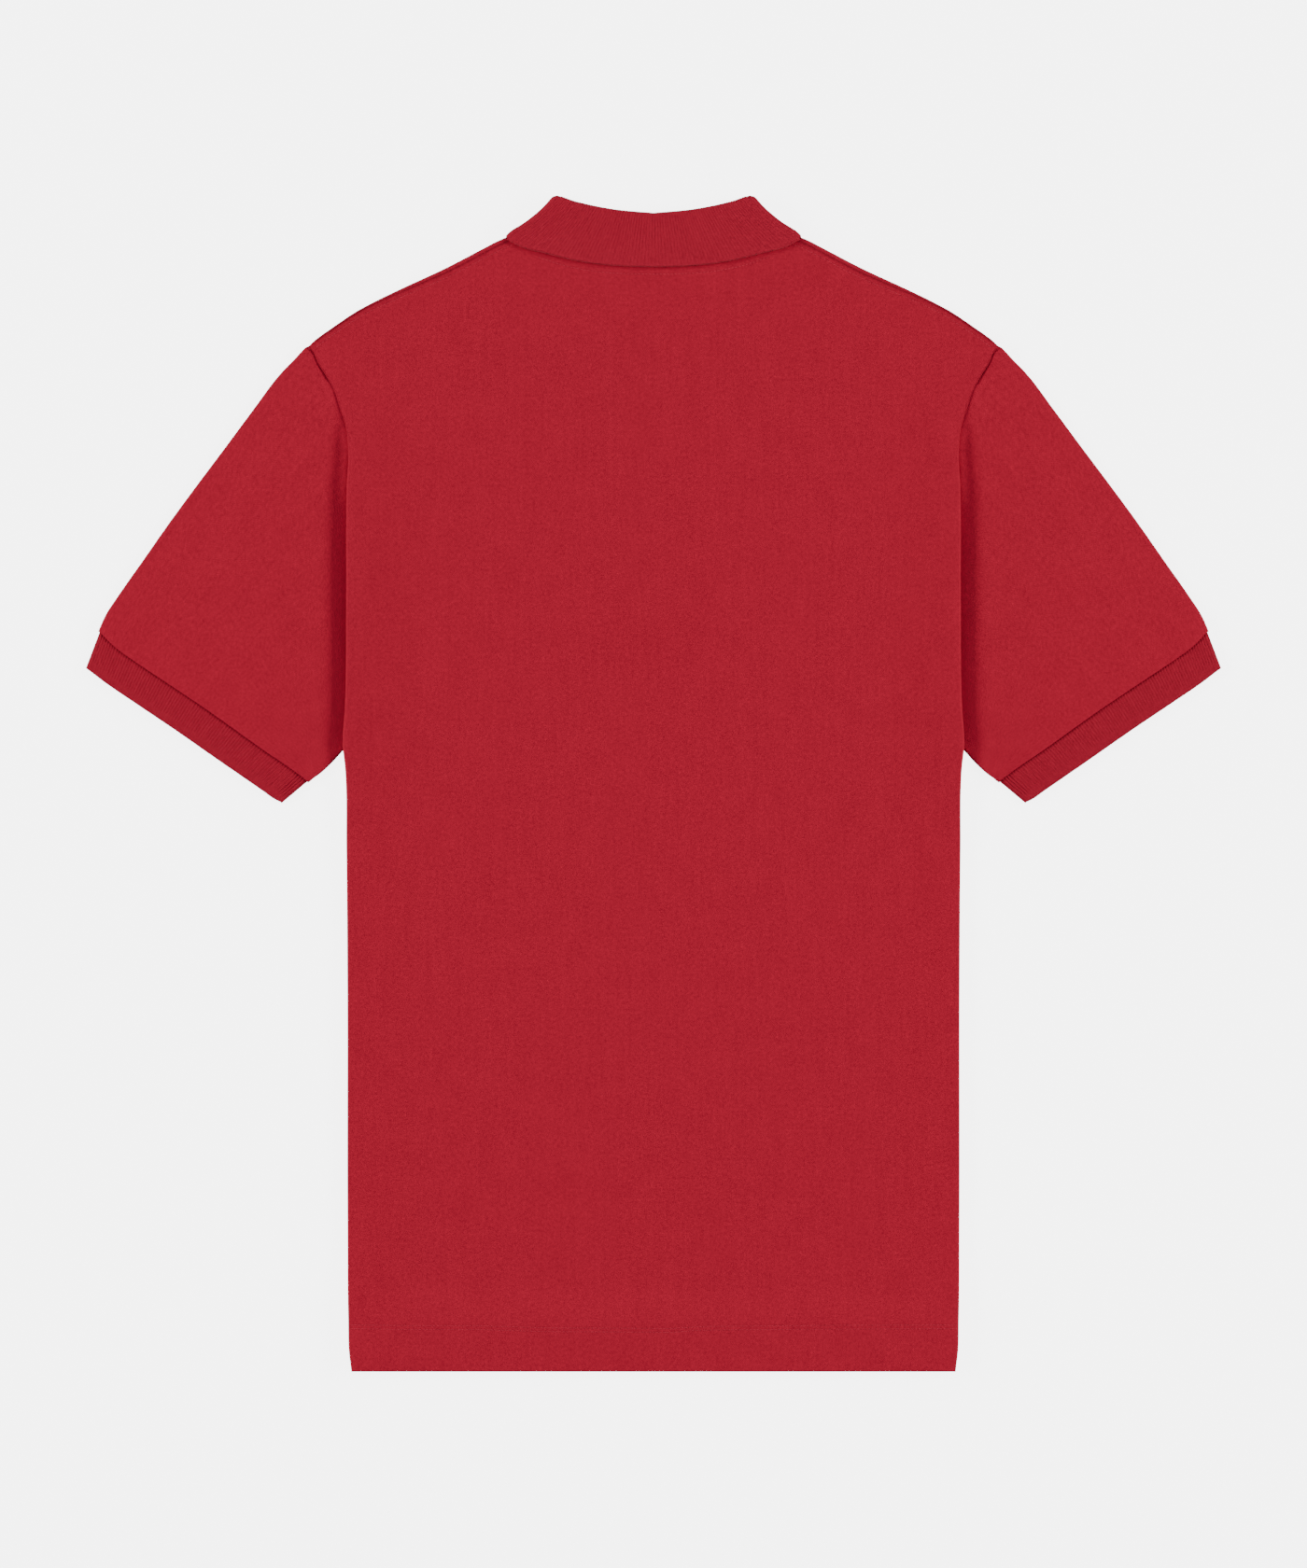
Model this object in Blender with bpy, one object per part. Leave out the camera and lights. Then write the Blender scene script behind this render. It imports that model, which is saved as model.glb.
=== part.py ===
"""A polo shirt laid flat with its back up.

Each piece that a maker cuts and sews is one closed cloth wall. Left and right are as seen from above, X runs
across the shirt, Y from the hem up to the collar, and Z up from the surface that it lies on. All sizes are in
millimetres and become metres when a mesh is made.
"""

import math

import bmesh
import bpy
import numpy as np

METRE = 0.001

# Cloth
PIQUE = 1.0  # thickness of the knit of body and sleeves
RIB = 1.4  # thickness of the collar
CUFF_RIB = 1.1  # thickness of the cuffs
GAP = 0.3  # between pieces, and between layers that lie on each other
LAYER = PIQUE + GAP
LEVEL = [PIQUE / 2 + LAYER * n for n in range(4)]  # mid heights of stacked layers
EDGE_INSET = LAYER / 2 + PIQUE / 2  # from a fold's outside in to where the cloth starts to turn

# Overall
LENGTH = 754.8  # collar corners to hem
HEM_Y = -LENGTH / 2
HEM_DEPTH = 27.6
HEM_RAMP, HEM_RAMP_END = 28.0, 2.0  # the back's slope up on to the hem: its length and its distance
RIB_HEIGHT = 0.3
RIB_PITCH = 1.95

# Outline of the left half, each row a point: distance out from the middle, and height up the shirt
SHOULDER = [  # out, up: from under the collar to the shoulder point
    (84.0, 353.4), (97.0, 349.6), (108.3, 343.8), (121.6, 336.6), (135.9, 329.4), (149.0, 323.4),
    (174.6, 311.4), (196.0, 299.4), (213.0, 287.4), (221.4, 279.0),
]  # fmt: skip
ARMHOLE = [  # out, up: from the underarm to the shoulder point
    (199.0, 24.0), (197.6, 49.8), (196.8, 119.4), (196.5, 189.6), (195.6, 215.4), (197.7, 231.6),
    (200.4, 239.4), (203.4, 248.4), (206.4, 255.6), (210.6, 262.8), (216.0, 271.8), (221.4, 279.0),
]  # fmt: skip
SIDE = [  # out, up: from the hem to the underarm
    (193.4, HEM_Y), (194.9, -366.6), (195.6, -342.6), (196.1, -282.6), (196.2, -132.6), (196.8, -42.6),
    (197.7, 11.4),
]  # fmt: skip
SLEEVE_TOP = [  # out, up: the outer fold from the shoulder point to the cuff
    (221.6, 278.8), (227.0, 275.2), (238.7, 263.4), (257.1, 239.4), (274.7, 215.4), (292.7, 191.4),
    (310.5, 167.4), (327.8, 143.4), (344.5, 119.4), (351.9, 107.4), (355.9, 98.6),
]  # fmt: skip
UNDERARM = [  # out, up: from the armhole to the cuff
    (199.2, 22.2), (206.4, 14.7), (213.6, 8.0), (221.5, 2.8),
]  # fmt: skip
CUFF_SEAM = [  # out, up: from the outer fold to the underarm
    (355.5, 97.8), (346.8, 88.8), (328.8, 75.6), (309.0, 62.4), (285.9, 46.8), (251.4, 22.2), (226.2, 6.0),
    (221.7, 2.6),
]  # fmt: skip
CUFF_EDGE = [  # out, up: from the outer fold to the underarm
    (364.2, 75.0), (350.4, 63.6), (336.0, 53.8), (307.2, 34.4), (278.4, 14.3), (249.6, -6.1), (243.5, -9.9),
    (238.2, -11.6),
]  # fmt: skip

# Neck: seams, folds and free edges, each row out and up from a side to the middle. The collar is a band that is
# folded into a stand and a leaf.
NECK_BACK = [(83.6, 354.0), (70.0, 346.0), (48.0, 340.0), (24.0, 337.0), (0.0, 336.2)]
NECK_FRONT = [(83.6, 354.0), (77.0, 322.0), (52.0, 288.0), (16.3, 269.6), (0.0, 268.0)]
FOLD_BACK = [(61.3, 375.6), (56.0, 374.9), (46.2, 372.6), (25.8, 368.6), (0.0, 366.1)]
LEAF_BACK = [(93.6, 348.5), (85.8, 344.4), (67.8, 339.6), (51.6, 335.6), (24.0, 332.0), (0.0, 331.2)]
FOLD_FRONT = [(61.3, 375.6), (62.0, 345.0), (44.0, 312.0), (20.0, 298.0), (2.5, 295.0)]
LEAF_FRONT = [(93.6, 348.5), (88.0, 318.0), (68.0, 276.0), (50.0, 246.0), (40.0, 232.0)]
LEAF_BOW = 2.2  # how far the leaf's side fold bends in between its ends
RIB_BORDER = 4.6  # plain knit along the leaf's free edge

# How the back panel's side rolls over, from hem to shoulder point
# up, top: mid height of the rolled cloth, radius, turn in degrees, lip: straight cloth past the roll
ROLL = [
    {"up": HEM_Y, "top": 4.4, "radius": 0.75, "turn": 90, "lip": 2.25},
    {"up": -345.0, "top": 4.4, "radius": 0.75, "turn": 90, "lip": 2.25},
    {"up": -300.0, "top": 2.9, "radius": 0.75, "turn": 90, "lip": 0.75},
    {"up": -60.0, "top": 2.9, "radius": 0.75, "turn": 90, "lip": 0.75},
    {"up": -25.0, "top": 3.4, "radius": 0.8, "turn": 105, "lip": 0.9},
    {"up": 5.0, "top": 4.7, "radius": 1.0, "turn": 150, "lip": 1.5},
    {"up": 20.0, "top": 5.6, "radius": 1.2, "turn": 180, "lip": 5.0},
    {"up": 35.0, "top": 6.0, "radius": 1.4, "turn": 180, "lip": 9.0},
    {"up": 60.0, "top": 6.2, "radius": 1.5, "turn": 180, "lip": 11.0},
    {"up": 150.0, "top": 6.2, "radius": 1.5, "turn": 180, "lip": 11.0},
    {"up": 190.0, "top": 5.9, "radius": 1.35, "turn": 180, "lip": 8.0},
    {"up": 208.0, "top": 5.4, "radius": 1.1, "turn": 180, "lip": 4.0},
    {"up": 220.0, "top": 4.8, "radius": 0.8, "turn": 150, "lip": 0.8},
    {"up": 234.0, "top": 3.7, "radius": 0.65, "turn": 95, "lip": 0.2},
    {"up": 250.0, "top": 3.3, "radius": 0.6, "turn": 75, "lip": 0.1},
    {"up": 279.0, "top": 3.1, "radius": 0.6, "turn": 60, "lip": 0.1},
]
ROLL_REACH = 48.0  # how far in from the side the roll lifts the back
TUCK = [  # up, under: how far the sleeve's upper layer goes in under the back's rolled edge
    (24.0, -0.3), (32.0, 1.5), (45.0, 7.0), (60.0, 10.0), (150.0, 10.0), (185.0, 7.0), (200.0, 2.0),
    (212.0, -0.3), (279.0, -0.3),
]  # fmt: skip
SHOULDER_LIP = [(85.0, 1.7), (135.0, 1.6), (165.0, 0.8), (180.0, 0.2), (222.0, 0.1)]  # out, lip

# Placket and buttons, face down under the front panel's opening
PLACKET_WIDTH, PLACKET_LENGTH = 32.0, 150.0
PLACKET_TOP = 266.0
PLACKET_FOOT = PLACKET_TOP - PLACKET_LENGTH
PLACKET_RAMP = 30.0  # over which its top rises to the collar's stand
PLACKET_SLACK = 0.15  # between its two straps, past the usual gap
BUTTON_RADIUS, BUTTON_THICKNESS = 5.7, 1.5
BUTTON_DROPS = [16.0, 88.0]  # from the placket's top
BUTTON_LIFT = BUTTON_THICKNESS + GAP

COLOURS = {"pique": (0.39, 0.017, 0.028), "rib": (0.36, 0.014, 0.023), "button": (0.34, 0.02, 0.028)}
ROUGHNESS = {"pique": 0.92, "rib": 0.92, "button": 0.35}


# ---------------------------------------------------------------- sizes along tables
def smooth(x):
    """From 0 at 0 to 1 at 1, level at both."""
    x = np.clip(x, 0.0, 1.0)
    return x * x * (3 - 2 * x)


def value_along(table, at):
    """The second column of a table of pairs, between its rows, for a value of the first."""
    return float(np.interp(at, [row[0] for row in table], [row[1] for row in table]))


def roll_at(up):
    rows = [row["up"] for row in ROLL]
    return {key: float(np.interp(up, rows, [row[key] for row in ROLL])) for key in ROLL[0]}


def curve(points, fractions):
    """Points at these fractions of the length of a smooth curve through the given ones."""
    points = np.asarray(points, float)
    knots = np.concatenate([[0], np.cumsum(np.linalg.norm(np.diff(points, axis=0), axis=1))])
    slopes = np.gradient(points, knots, axis=0)
    at = np.asarray(fractions, float) * knots[-1]
    i = np.clip(np.searchsorted(knots, at, side="right") - 1, 0, len(points) - 2)
    span = (knots[i + 1] - knots[i])[:, None]
    t = ((at - knots[i]) / span[:, 0])[:, None]
    start, end = points[i], points[i + 1]
    return (
        start * (1 + 2 * t) * (1 - t) ** 2
        + end * t**2 * (3 - 2 * t)
        + slopes[i] * span * t * (1 - t) ** 2
        - slopes[i + 1] * span * t**2 * (1 - t)
    )


def sides_of(path):
    """Unit vectors to the left of a path's direction."""
    along = np.gradient(np.asarray(path, float), axis=0)
    along /= np.linalg.norm(along, axis=1)[:, None]
    return np.stack([-along[:, 1], along[:, 0]], axis=1)


def mirrored(points):
    """A left half's (out, up) points as X and Y, on the left of the picture."""
    return np.asarray(points, float) * [-1, 1]


def at_heights(points, heights):
    """Where a rising curve of X and Y passes these heights."""
    fine = curve(points, np.linspace(0, 1, 400))
    return np.stack([np.interp(heights, fine[:, 1], fine[:, 0]), heights], axis=1)


def patch(bottom, top, left, right, across=None):
    """A grid of points between four edges that meet at their ends, rows from bottom to top. across gives the
    columns' places where they aren't even."""
    u = (np.linspace(0, 1, len(bottom)) if across is None else across)[None, :, None]
    v = np.linspace(0, 1, len(left))[:, None, None]
    corners = (
        (1 - u) * (1 - v) * left[0] + u * (1 - v) * right[0] + (1 - u) * v * left[-1] + u * v * right[-1]
    )
    return (1 - v) * bottom[None] + v * top[None] + (1 - u) * left[:, None] + u * right[:, None] - corners


# ---------------------------------------------------------------- heights of the layers
NECK_COVER = {"middle": 315.0, "across": 108.0, "up": 95.0, "roundness": 3, "fade": 0.7}
BUTTON_COVER = {"flat": 9.0, "fade": 22.0}
PLACKET_COVER = {"flat": PLACKET_WIDTH / 2 + 6, "side_fade": 55.0, "end_fade": 40.0, "past_foot": 45.0}


def neck_lift(x, y):
    """1 over the collar's front leaves, falling away round them."""
    middle, across, up, power, fade = NECK_COVER.values()
    distance = ((np.abs(x) / across) ** power + (np.abs(y - middle) / up) ** power) ** (1 / power)
    return 1 - smooth((distance - 1) / fade)


def button_lift(x, y):
    """Height that the buttons give to the cloth that lies on them."""
    flat, fade = BUTTON_COVER.values()
    lift = np.zeros_like(np.asarray(x, float) + y)
    for drop in BUTTON_DROPS:
        distance = np.hypot(x, y - (PLACKET_TOP - drop))
        lift = np.maximum(lift, 1 - smooth((distance - flat) / fade))
    return lift * BUTTON_LIFT


def placket_lift(x, y):
    """1 over the placket, falling away round it."""
    flat, side_fade, end_fade, past_foot = PLACKET_COVER.values()
    side = 1 - smooth((np.abs(x) - flat) / side_fade)
    foot = smooth((y - (PLACKET_FOOT - past_foot)) / end_fade)
    head = 1 - smooth((y - PLACKET_TOP) / end_fade)
    return side * foot * head


STAND_OUT = GAP / 2 + RIB / 2  # the stand's mid surface from the collar's middle
LEAF_OUT = STAND_OUT + RIB + GAP
COLLAR_MID = LEAF_OUT + RIB / 2  # height of the collar's middle
FOLD_RADIUS = (LEAF_OUT - STAND_OUT) / 2
NECK_FRONT_RISE = COLLAR_MID - STAND_OUT - LEVEL[0]
NECK_BACK_RISE = COLLAR_MID + STAND_OUT - LEVEL[1]
PLACKET_RISE = LEVEL[2] + BUTTON_LIFT + 2 * PLACKET_SLACK - LEVEL[1]  # of the back, bridging the buttons


def front_height(x, y):
    return LEVEL[0] + np.maximum(NECK_FRONT_RISE * neck_lift(x, y), button_lift(x, y))


def back_height(x, y):
    """Mid height of the back panel, before its sides and hem are lifted."""
    neck = NECK_BACK_RISE / PLACKET_RISE * neck_lift(x, y)
    hem = smooth((HEM_Y + HEM_DEPTH + HEM_RAMP_END + HEM_RAMP - y) / HEM_RAMP) * (LEVEL[3] - LEVEL[1])
    return LEVEL[1] + PLACKET_RISE * (1 - (1 - neck) * (1 - placket_lift(x, y))) + hem


# ---------------------------------------------------------------- walls
def normals_of(grid, closed):
    """A unit normal at each point of a grid, from its neighbours."""
    across = np.gradient(grid, axis=1)
    if closed:
        across = np.roll(grid, -1, axis=1) - np.roll(grid, 1, axis=1)
    normal = np.cross(across, np.gradient(grid, axis=0))
    return normal / np.maximum(np.linalg.norm(normal, axis=2), 1e-9)[..., None]


def add_object(name, points, faces, material):
    mesh = bpy.data.meshes.new(name)
    mesh.from_pydata((np.asarray(points) * METRE).tolist(), [], faces)
    work = bmesh.new()
    work.from_mesh(mesh)
    bmesh.ops.recalc_face_normals(work, faces=work.faces)
    bmesh.ops.triangulate(work, faces=work.faces)
    work.to_mesh(mesh)
    work.free()
    mesh.shade_smooth()
    mesh.set_sharp_from_angle(angle=math.radians(40))
    mesh.materials.append(material)
    made = bpy.data.objects.new(name, mesh)
    bpy.context.scene.collection.objects.link(made)
    return made


def wall(name, grid, thickness, material, cells=None, closed=False):
    """A closed wall round a grid of mid-surface points. cells marks those that are cloth; closed joins the
    last column to the first."""
    rows, columns = grid.shape[:2]
    spans = columns if closed else columns - 1
    cells = np.ones((rows - 1, spans), bool) if cells is None else cells
    offset = normals_of(grid, closed) * thickness / 2
    points = np.concatenate([(grid + offset).reshape(-1, 3), (grid - offset).reshape(-1, 3)])
    number = np.arange(rows * columns).reshape(rows, columns)
    under = rows * columns
    faces, edges = [], {}
    for i, j in zip(*np.nonzero(cells)):
        k = (j + 1) % columns
        loop = [int(n) for n in (number[i, j], number[i, k], number[i + 1, k], number[i + 1, j])]
        faces += [loop, [n + under for n in reversed(loop)]]
        for a, b in zip(loop, loop[1:] + loop[:1]):
            edges[(a, b)] = True
    faces += [[b, a, a + under, b + under] for a, b in edges if (b, a) not in edges]
    used = sorted({n for face in faces for n in face})
    order = {n: i for i, n in enumerate(used)}
    return add_object(name, points[used], [[order[n] for n in face] for face in faces], material)


def strip(faces, first, second):
    """Triangles between two rows of (place along, point number), which may differ in how many they hold."""
    i = j = 0
    while i < len(first) - 1 or j < len(second) - 1:
        step_first = j == len(second) - 1 or (i < len(first) - 1 and first[i + 1][0] <= second[j + 1][0])
        if step_first:
            faces.append([first[i][1], first[i + 1][1], second[j][1]])
            i += 1
        else:
            faces.append([first[i][1], second[j + 1][1], second[j][1]])
            j += 1


def band(name, rows, closed, material):
    """A closed wall from rows of (places along, points), in order round the wall's section, its outer side
    and then its inner side. closed says that the rows are rings."""
    points, chains, faces = [], [], []
    for places, row in rows:
        start = len(points)
        points += [tuple(p) for p in row]
        chain = [(place, start + n) for n, place in enumerate(places)]
        chains.append(chain + [(1.0, start)] if closed else chain)
    for first, second in zip(chains, chains[1:] + chains[:1]):
        strip(faces, first, second)
    if not closed:
        outer, inner = chains[: len(chains) // 2], chains[len(chains) // 2 :][::-1]
        for end in (0, -1):
            near, far = [c[end][1] for c in outer], [c[end][1] for c in inner]
            for a, b, c, d in zip(near, near[1:], far[1:], far):
                faces.append([a, b, c, d] if end == 0 else [d, c, b, a])
    return add_object(name, points, faces, material)


# ---------------------------------------------------------------- body
# Heights on the left edge where the cloth's rows end. Sleeve and panels share those of the armhole, so that
# their edges stay parallel.
ARMHOLE_ROWS = [24.0, 55.0, 90.0, 118.0, 140.0, 160.0, 178.0, 195.0, 205.0, 215.0, 228.0, 240.0, 250.0, 262.0,
                271.0]  # fmt: skip
BACK_ROWS = sorted([-366.0, -349.8, -338.0, -325.0, -305.0, -260.0, -200.0, -140.0, -90.0, -55.0, -30.0, -12.0,
                    4.0, 14.0, 34.0, 44.0, 72.0, *ARMHOLE_ROWS])  # fmt: skip
FRONT_ROWS = [-366.0, -349.8, -338.0, -320.0, -250.0, -170.0, -90.0, -30.0, 4.0, *ARMHOLE_ROWS]
TOP_ROW = 277.6
SHOULDER_CELLS = 6
SEAM_INSET = EDGE_INSET + 2 * GAP  # of the back's shoulder edge from the outline, less the front's lip
ROLL_STEPS = 3


def left_edge(heights, shrink):
    """The body's left edge from hem to shoulder point, moved in by shrink, with its outward normals."""
    line = at_heights(mirrored(SIDE + ARMHOLE), heights)
    outward = sides_of(line)
    return line - outward * np.asarray(shrink)[:, None], outward


def top_edge(neck, shrink):
    """The body's top edge from the left shoulder point along the neck seam to the right one."""
    share = np.linspace(0, 1, SHOULDER_CELLS + 1)
    shoulder = curve(mirrored(SHOULDER), share)
    shoulder = (shoulder + sides_of(shoulder) * np.asarray(shrink)[:, None])[::-1]
    seam = mirrored(neck)
    seam = seam - sides_of(seam) * GAP
    seam[-1, 0] = 0.0
    half = np.concatenate([shoulder, seam[1:]])
    return np.concatenate([half, half[-2::-1] * [-1, 1]])


def rolled_end(start, outward, top, radius, turn, lip):
    """Mid-surface points over a rolled edge: an arc down from the top and then straight cloth."""
    turns = np.radians(turn) * np.arange(1, ROLL_STEPS + 1) / ROLL_STEPS
    flat = [start + outward * radius * math.sin(a) for a in turns]
    high = [top - radius * (1 - math.cos(a)) for a in turns]
    flat.append(flat[-1] + outward * lip * math.cos(turns[-1]))
    high.append(high[-1] - lip * math.sin(turns[-1]))
    return np.array([[*p, z] for p, z in zip(flat, high)])


def hem_rows(row, height, turned):
    """Rows of the hem, from its raw edge inside to the fold: the cloth turned up inside the shirt."""
    made = []
    radius = LAYER / 2
    direction = 1 if turned > height else -1
    for back in (HEM_DEPTH, HEM_DEPTH / 2, 0.0):
        made.append([[x, HEM_Y + EDGE_INSET + back, turned] for x in row])
    for angle in np.radians([60, 0, -60]):
        y = HEM_Y + PIQUE / 2 + radius * (1 - math.cos(angle))
        made.append([[x, y, (height + turned) / 2 + direction * radius * math.sin(angle)] for x in row])
    return np.array(made)


def back_panel(material):
    heights = np.array([HEM_Y + EDGE_INSET, *BACK_ROWS, TOP_ROW])
    rolls = [roll_at(up) for up in heights]
    left, outward = left_edge(heights, [roll["radius"] + PIQUE / 2 for roll in rolls])
    top = top_edge(NECK_BACK, [value_along(SHOULDER_LIP, out) + SEAM_INSET for out in shoulder_outs()])
    left[-1] = top[0]
    right = left * [-1, 1]
    bottom = np.linspace(left[0], right[0], top.shape[0])
    flat = patch(bottom, top, left, right)
    x, y = flat[..., 0], flat[..., 1]
    distance = np.abs(left[:, :1]) - np.abs(x)
    lift = np.array([roll["top"] for roll in rolls])[:, None] - back_height(left[:, 0], left[:, 1])[:, None]
    z = back_height(x, y) + lift * (1 - smooth(distance / ROLL_REACH))
    grid = np.concatenate([flat, z[..., None]], axis=2)
    ends = np.array(
        [
            rolled_end(left[i], outward[i], grid[i, 0, 2], *[rolls[i][k] for k in ("radius", "turn", "lip")])
            for i in range(len(heights))
        ]
    )
    grid = np.concatenate([ends[:, ::-1], grid, ends * [-1, 1, 1]], axis=1)
    lower = hem_rows(grid[0, :, 0], LEVEL[3], LEVEL[2])
    cells = np.ones((len(lower) + len(heights) - 1, grid.shape[1] - 1), bool)
    roll_cells = ends.shape[1] + 1
    cells[: len(lower), :roll_cells] = cells[: len(lower), -roll_cells:] = False
    return wall("back", np.concatenate([lower, grid]), PIQUE, material, cells)


def shoulder_outs():
    return [-p[0] for p in curve(mirrored(SHOULDER), np.linspace(0, 1, SHOULDER_CELLS + 1))]


def front_panel(material):
    heights = np.array([HEM_Y + EDGE_INSET, *FRONT_ROWS, TOP_ROW])
    left, _ = left_edge(heights, np.full(len(heights), GAP / 2))
    top = top_edge(NECK_FRONT, [EDGE_INSET] * (SHOULDER_CELLS + 1))
    left[-1] = top[0]
    right = left * [-1, 1]
    bottom = np.linspace(left[0], right[0], top.shape[0])
    flat = patch(bottom, top, left, right)
    grid = np.concatenate([flat, front_height(flat[..., 0], flat[..., 1])[..., None]], axis=2)
    lower = hem_rows(grid[0, :, 0], LEVEL[0], LEVEL[1])
    upper = shoulder_rows(grid[-1])
    middle = grid.shape[1] // 2
    cells = np.ones((len(lower) + len(grid) + len(upper) - 1, grid.shape[1] - 1), bool)
    cells[: len(lower), :1] = cells[: len(lower), -1:] = False
    cells[-len(upper) :, SHOULDER_CELLS:-SHOULDER_CELLS] = False
    slot_rows = open_slot(grid, middle)
    cells[-len(upper) - slot_rows : -len(upper), middle - 1 : middle + 1] = False
    return wall("front", np.concatenate([lower, grid, upper]), PIQUE, material, cells)


def open_slot(grid, middle):
    """Moves the columns on both sides of the middle to the placket's edges, from the slot's foot up, and
    returns how many rows of cells the slot takes."""
    half = PLACKET_WIDTH / 2 + GAP
    first = int(np.argmin(np.abs(grid[:, middle, 1] - PLACKET_FOOT)))
    grid[first, :, 1] += PLACKET_FOOT - grid[first, middle, 1]
    for row in grid[first:]:
        for column, edge in ((middle - 1, -half), (middle + 1, half)):
            row[column, 1] = np.interp(edge, row[:, 0], row[:, 1])
            row[column, 0] = edge
    grid[first, middle - 1 : middle + 2, 1] = PLACKET_FOOT
    for row in grid[first:]:
        row[:, 2] = front_height(row[:, 0], row[:, 1])
    return len(grid) - 1 - first


def shoulder_rows(row):
    """The front's shoulder edge turned over to the back, ending at the shoulder seam."""
    outward = sides_of(row[:, :2])
    outward[SHOULDER_CELLS] = outward[SHOULDER_CELLS - 1]
    outward[-SHOULDER_CELLS - 1] = outward[-SHOULDER_CELLS]
    radius = (back_height(row[:, 0], row[:, 1]) - row[:, 2])[:, None] / 2
    made = []
    for angle in np.radians([60, 120, 180]):
        flat = row[:, :2] + outward * radius * math.sin(angle)
        made.append(np.concatenate([flat, row[:, 2:] + radius * (1 - math.cos(angle))], axis=1))
    lip = np.array([value_along(SHOULDER_LIP, abs(x)) for x in row[:, 0]])[:, None]
    made.append(np.concatenate([row[:, :2] - outward * lip, row[:, 2:] + radius * 2], axis=1))
    return np.array(made)


# ---------------------------------------------------------------- sleeves and cuffs
SLEEVE_ROWS, SLEEVE_COLUMNS = 10, len(ARMHOLE_ROWS) + 1
SLEEVE_FULLNESS = 0.6  # of the upper layer's middle
SLEEVE_END = {"rise": 0.7, "from": 0.86, "over": 0.1}  # where the sleeve comes up to stand over its cuff


def half_ring(start, outward, middle, radius):
    """Points round the side of a flattened tube, from its upper layer to its lower one."""
    turns = np.radians([60, 120])
    return [[*(start + outward * radius * math.sin(a)), middle + radius * math.cos(a)] for a in turns]


def meet_sides(edge, across, sides, place):
    """Bends the ends of an edge so that it starts and ends on the two side lines."""
    for end, side in zip((0, -1), sides):
        share = across if end else 1 - across
        edge += (side[place] - edge[end]) * (share**8)[:, None]
    return edge


def sleeve(name, sign, material):
    along = np.linspace(0, 1, SLEEVE_ROWS)
    heights = np.array([*ARMHOLE_ROWS, ARMHOLE[-1][1]])[::-1]
    across = (heights[0] - heights) / (heights[0] - heights[-1])
    fold = curve(mirrored(SLEEVE_TOP), along)
    fold_out = -sides_of(fold)
    fold -= fold_out * EDGE_INSET
    underarm = curve(mirrored(UNDERARM), along)
    underarm_out = sides_of(underarm)
    underarm -= underarm_out * EDGE_INSET
    cuff_end = curve(mirrored(CUFF_SEAM), across)
    cuff_end += sides_of(cuff_end) * GAP / 2
    cuff_end = meet_sides(cuff_end, across, (fold, underarm), -1)
    layers = []
    for tucked in (True, False):
        armhole = at_heights(mirrored(ARMHOLE), heights)
        tuck = np.array([value_along(TUCK, up) if tucked else -GAP / 2 for up in armhole[:, 1]])
        armhole += sides_of(armhole) * tuck[:, None]
        armhole = meet_sides(armhole, across, (fold, underarm), 0)
        layers.append(patch(armhole, cuff_end, fold, underarm, across))
    rise = SLEEVE_FULLNESS * np.outer(np.sin(along * math.pi), np.sin(across * math.pi))
    end = smooth((along - SLEEVE_END["from"]) / SLEEVE_END["over"])[:, None]
    top = LEVEL[1] + rise + SLEEVE_END["rise"] * end
    rows = []
    for i in range(SLEEVE_ROWS):
        upper = np.column_stack([layers[0][i], top[i]])
        lower = np.column_stack([layers[1][i], np.full(SLEEVE_COLUMNS, LEVEL[0])])[::-1]
        radius = (top[i, 0] - LEVEL[0]) / 2
        middle = LEVEL[0] + radius
        near = half_ring(underarm[i], underarm_out[i], middle, radius)
        far = half_ring(fold[i], fold_out[i], middle, radius)[::-1]
        rows.append(np.concatenate([upper, near, lower, far]))
    return wall(name, np.array(rows) * [sign, 1, 1], PIQUE, material, closed=True)


CUFF_LAYER_RADIUS = (CUFF_RIB + GAP) / 2
CUFF_PLACES = {"under": 0.5, "lower": 0.53, "fold": 0.97}  # where each part of the ring starts
CUFF_COARSE = 11  # points along a layer without ribs
CUFF_DEPTHS = {"seam": 0.012, "rib_start": 0.1, "rib_end": 0.74, "border": 0.8}  # shares of its depth


def cuff_ring(depth, out, count, sign, ribs=0.0):
    """A ring round the cuff at a share of its depth: upper layer, underarm end, lower layer, outer fold."""
    radius = CUFF_LAYER_RADIUS + out
    middle = CUFF_LAYER_RADIUS + CUFF_RIB / 2
    length = np.linalg.norm(np.diff(CUFF_EDGE, axis=0), axis=1).sum()
    margin = (CUFF_LAYER_RADIUS + CUFF_RIB / 2) / length

    def layer(n):
        share = margin + (1 - 2 * margin) * np.linspace(0, 1, n)
        return (1 - depth) * curve(mirrored(CUFF_SEAM), share) + depth * curve(mirrored(CUFF_EDGE), share)

    upper, lower = layer(count), layer(CUFF_COARSE)[::-1]
    raised = np.where(np.arange(count) % 2 == 0, -ribs / 2, ribs / 2)
    along = (lower[-1] - lower[0]) / np.linalg.norm(lower[-1] - lower[0])
    under = half_ring(lower[0], -along, middle, radius)
    fold = half_ring(lower[-1], along, middle, radius)[::-1]
    points = np.concatenate(
        [
            np.column_stack([upper, middle + radius + raised]),
            under,
            np.column_stack([lower, np.full(CUFF_COARSE, middle - radius)]),
            fold,
        ]
    )
    p = CUFF_PLACES
    places = [
        *np.linspace(0, p["under"], count),
        *np.linspace(p["under"], p["lower"], 4)[1:3],
        *np.linspace(p["lower"], p["fold"], CUFF_COARSE),
        *np.linspace(p["fold"], 1, 4)[1:3],
    ]
    return places, points * [sign, 1, 1]


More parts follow.
